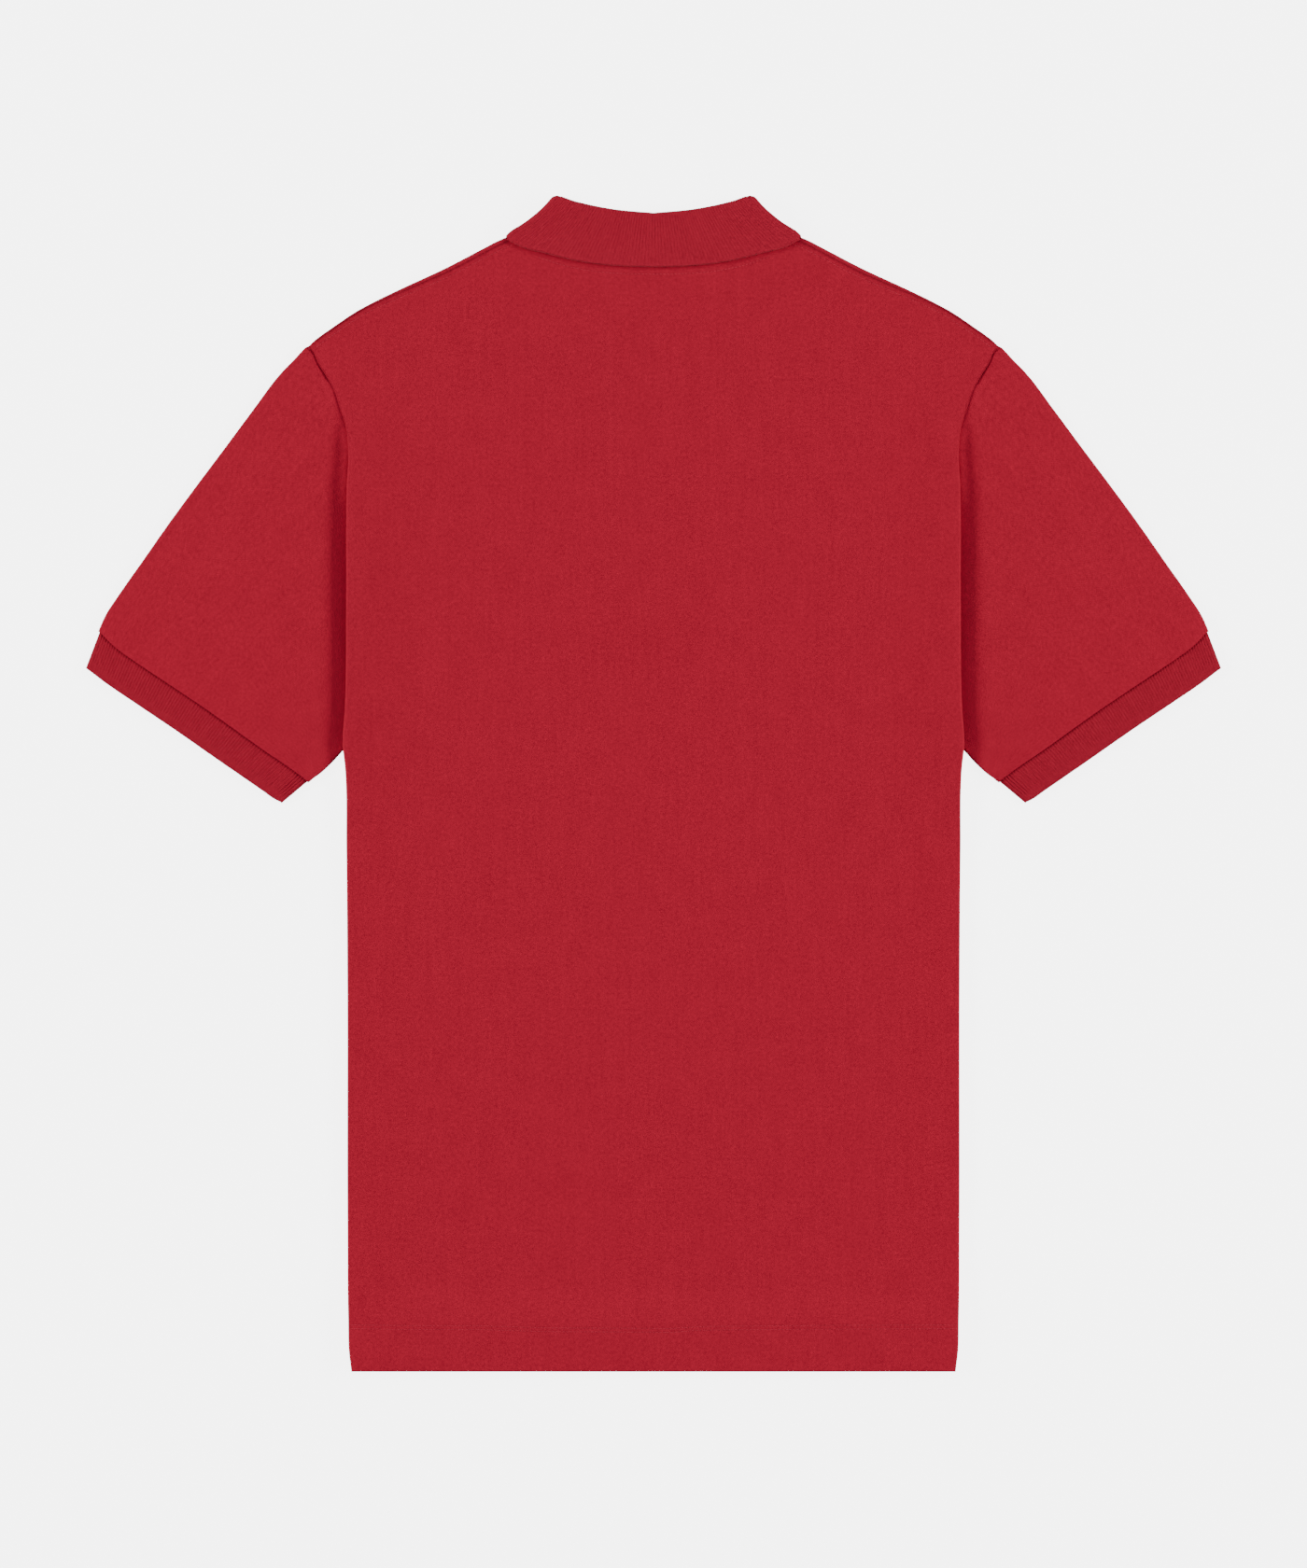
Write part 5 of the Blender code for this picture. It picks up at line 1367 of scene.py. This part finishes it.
# ---------------------------------------------------------------- operators
class SHIRT_OT_stage(bpy.types.Operator):
    """Makes the paper, the lights, the pale surroundings and the camera"""

    bl_idname = "shirt.stage"
    bl_label = "Stage"

    def execute(self, context):
        corners = [(x * PAPER_HALF, y * PAPER_HALF, -PAPER_DROP) for x, y in ((-1, -1), (1, -1), (1, 1), (-1, 1))]
        paper = make_object("paper", corners, [[0, 1, 2, 3]])
        paper.data.materials.append(material_of("Studio paper"))
        paper.visible_diffuse = paper.visible_glossy = False  # so that its glow doesn't wash out the shirt's edges
        world = bpy.data.worlds.new("Pale studio")
        world.use_nodes = True
        background = world.node_tree.nodes["Background"]
        background.inputs["Color"].default_value = (1, 1, 1, 1)
        background.inputs["Strength"].default_value = WORLD_STRENGTH
        context.scene.world = world
        for side in (-1, 1):
            light = bpy.data.lights.new("softbox", "AREA")
            light.shape, light.size, light.size_y = "RECTANGLE", SOFTBOX["height"], SOFTBOX["length"]
            light.energy = SOFTBOX["watts"]
            lamp = bpy.data.objects.new("softbox", light)
            angle = math.radians(SOFTBOX["elevation"])
            place = Vector((side * math.cos(angle), 0, math.sin(angle))) * SOFTBOX["distance"]
            lamp.location = place + Vector((0, SOFTBOX["up_shirt"], 0))
            lamp.rotation_euler = (0, side * (math.pi / 2 - angle), 0)
            context.scene.collection.objects.link(lamp)
        view = bpy.data.cameras.new("camera")
        view.lens, view.sensor_width = LENS_MM, SENSOR_MM
        camera = bpy.data.objects.new("camera", view)
        camera.location = (0, VIEW_MIDDLE * METRE, VIEW_LENGTH * METRE * LENS_MM / SENSOR_MM + LEVEL[2] * METRE)
        context.scene.collection.objects.link(camera)
        context.scene.camera = camera
        return {"FINISHED"}


class SHIRT_OT_body(bpy.types.Operator):
    """Makes the back and front panels"""

    bl_idname = "shirt.body"
    bl_label = "Body"

    def execute(self, context):
        back, front = make_back(), make_front()
        dress(back, ["back"], "Cotton pique")
        dress(front, ["front"], "Cotton pique")
        return {"FINISHED"}


class SHIRT_OT_sleeves(bpy.types.Operator):
    """Makes both sleeves"""

    bl_idname = "shirt.sleeves"
    bl_label = "Sleeves"

    def execute(self, context):
        for side, sign in (("left", 1), ("right", -1)):
            dress(make_sleeve(f"sleeve_{side}_cloth", sign), [f"sleeve_{side}"], "Cotton pique")
        return {"FINISHED"}


class SHIRT_OT_cuffs(bpy.types.Operator):
    """Makes both ribbed cuffs"""

    bl_idname = "shirt.cuffs"
    bl_label = "Cuffs"

    def execute(self, context):
        for side, sign in (("left", 1), ("right", -1)):
            made = make_cuff(f"cuff_{side}_rib", sign, context.scene.shirt_sizes)
            dress(made, [f"cuff_{side}"], "Cuff rib knit")
        return {"FINISHED"}


class SHIRT_OT_collar(bpy.types.Operator):
    """Makes the ribbed collar"""

    bl_idname = "shirt.collar"
    bl_label = "Collar"

    def execute(self, context):
        dress(make_collar(context.scene.shirt_sizes), ["collar"], "Collar rib knit")
        return {"FINISHED"}


class SHIRT_OT_placket(bpy.types.Operator):
    """Makes the placket's two straps and the buttons"""

    bl_idname = "shirt.placket"
    bl_label = "Placket and buttons"

    def execute(self, context):
        for level, name in enumerate(("placket_over", "placket_under")):
            dress(make_placket(name + "_cloth", level), [name], "Cotton pique")
        for number, drop in enumerate(BUTTON_DROPS, 1):
            dress(make_button(f"button_{number}_resin", drop), [f"button_{number}"], "Polyester resin")
        return {"FINISHED"}


class SHIRT_OT_stitches(bpy.types.Operator):
    """Sews the hem, shoulders, neck and placket"""

    bl_idname = "shirt.stitches"
    bl_label = "Stitches"

    def execute(self, context):
        sizes = context.scene.shirt_sizes
        back, front = bpy.data.objects["back_panel"], bpy.data.objects["front_panel"]
        x = np.arange(-HEM_STITCH_END, HEM_STITCH_END + 0.1, 1.5)
        hem = [np.stack([x, eased(HEM_LINE, x) + side * HEM_ROWS_APART], axis=1) for side in (-0.5, 0.5)]
        neck, shoulder = neck_stitch(), shoulder_stitch()
        strap = bpy.data.objects["placket_over_cloth"]
        upright = {"lean": math.pi / 2, "pitch": 0.6, "length": 2.6}  # side by side across the buttonhole's edge
        rows = {
            "hem_stitches_back": (on_cloth(hem, [back]), {}),
            "hem_stitches_front": (on_cloth(hem, [front], False), {}),
            "neck_stitches": (on_cloth([neck], [back]), {}),
            "shoulder_stitches": (on_cloth([shoulder, shoulder * [-1, 1]], [back]), {}),
            "placket_stitches": (on_cloth(placket_lines(), [strap], False), {}),
            "buttonhole_stitches": (on_cloth(buttonhole_lines(), [strap], False), upright),
            "button_threads": (button_threads(), {"pitch": 0.9, "length": 1.6}),
        }
        for name, (paths, options) in rows.items():
            dress(sew(name, paths, sizes, **options), [], "Sewing thread")
        return {"FINISHED"}


def placket_lines():
    """The topstitching round the outer strap, with the box across its foot."""
    inset, above_foot, past_head, box_height, step = TOPSTITCH.values()
    side, foot, head = PLACKET_WIDTH / 2 - inset, PLACKET_FOOT + above_foot, PLACKET_TOP + past_head
    corners = [(-side, head), (-side, foot), (side, foot), (side, head)]
    box = [(-side, foot + box_height), (side, foot + box_height)]
    lines = []
    for line in (corners, box):
        for (x, y), (to_x, to_y) in zip(line, line[1:]):
            share = np.linspace(0, 1, round(math.hypot(to_x - x, to_y - y) / step) + 1)[:, None]
            lines.append((1 - share) * [x, y] + share * [to_x, to_y])
    return lines


def buttonhole_lines():
    """The two sides of each buttonhole, upright over its button."""
    length, beside, step = BUTTONHOLE.values()
    lines = []
    for drop in BUTTON_DROPS:
        y = np.arange(-length / 2, length / 2, step) + PLACKET_TOP - drop
        lines += [np.stack([np.full(len(y), side * beside), y], axis=1) for side in (-1, 1)]
    return lines


def button_threads():
    """Two threads across each button's dish, from hole to hole."""
    reach, height, count = BUTTON_THREAD.values()
    lines = []
    for drop in BUTTON_DROPS:
        for side in (-BUTTON_HOLES["out"], BUTTON_HOLES["out"]):
            lines.append([(x, PLACKET_TOP - drop + side, height) for x in np.linspace(-reach, reach, count)])
    return lines


class SHIRT_OT_cloth(bpy.types.Operator):
    """A last step that does nothing"""

    bl_idname = "shirt.cloth"
    bl_label = "State the cloth"

    def execute(self, context):
        return {"FINISHED"}


class SHIRT_PT_panel(bpy.types.Panel):
    bl_label = "Polo Shirt"
    bl_idname = "SHIRT_PT_panel"
    bl_space_type = "VIEW_3D"
    bl_region_type = "UI"
    bl_category = "Polo Shirt"

    def draw(self, context):
        for group in (context.scene.shirt_sizes, context.scene.shirt_colours):
            for name in group.__annotations__:
                self.layout.prop(group, name)
        for step in STEPS:
            self.layout.operator(step.bl_idname)


STEPS = (
    SHIRT_OT_stage,
    SHIRT_OT_body,
    SHIRT_OT_sleeves,
    SHIRT_OT_cuffs,
    SHIRT_OT_collar,
    SHIRT_OT_placket,
    SHIRT_OT_stitches,
    SHIRT_OT_cloth,
)
CLASSES = (ShirtSizes, ShirtColours, *STEPS, SHIRT_PT_panel)


def register():
    for each in CLASSES:
        bpy.utils.register_class(each)
    bpy.types.Scene.shirt_sizes = PointerProperty(type=ShirtSizes)
    bpy.types.Scene.shirt_colours = PointerProperty(type=ShirtColours)


def unregister():
    del bpy.types.Scene.shirt_sizes, bpy.types.Scene.shirt_colours
    for each in reversed(CLASSES):
        bpy.utils.unregister_class(each)


def main():
    """Makes the stage and every piece in order."""
    register()
    bpy.ops.shirt.stage()
    bpy.ops.shirt.body()
    bpy.ops.shirt.sleeves()
    bpy.ops.shirt.cuffs()
    bpy.ops.shirt.collar()
    bpy.ops.shirt.placket()
    bpy.ops.shirt.stitches()
    bpy.ops.shirt.cloth()


if __name__ == "__main__":
    main()
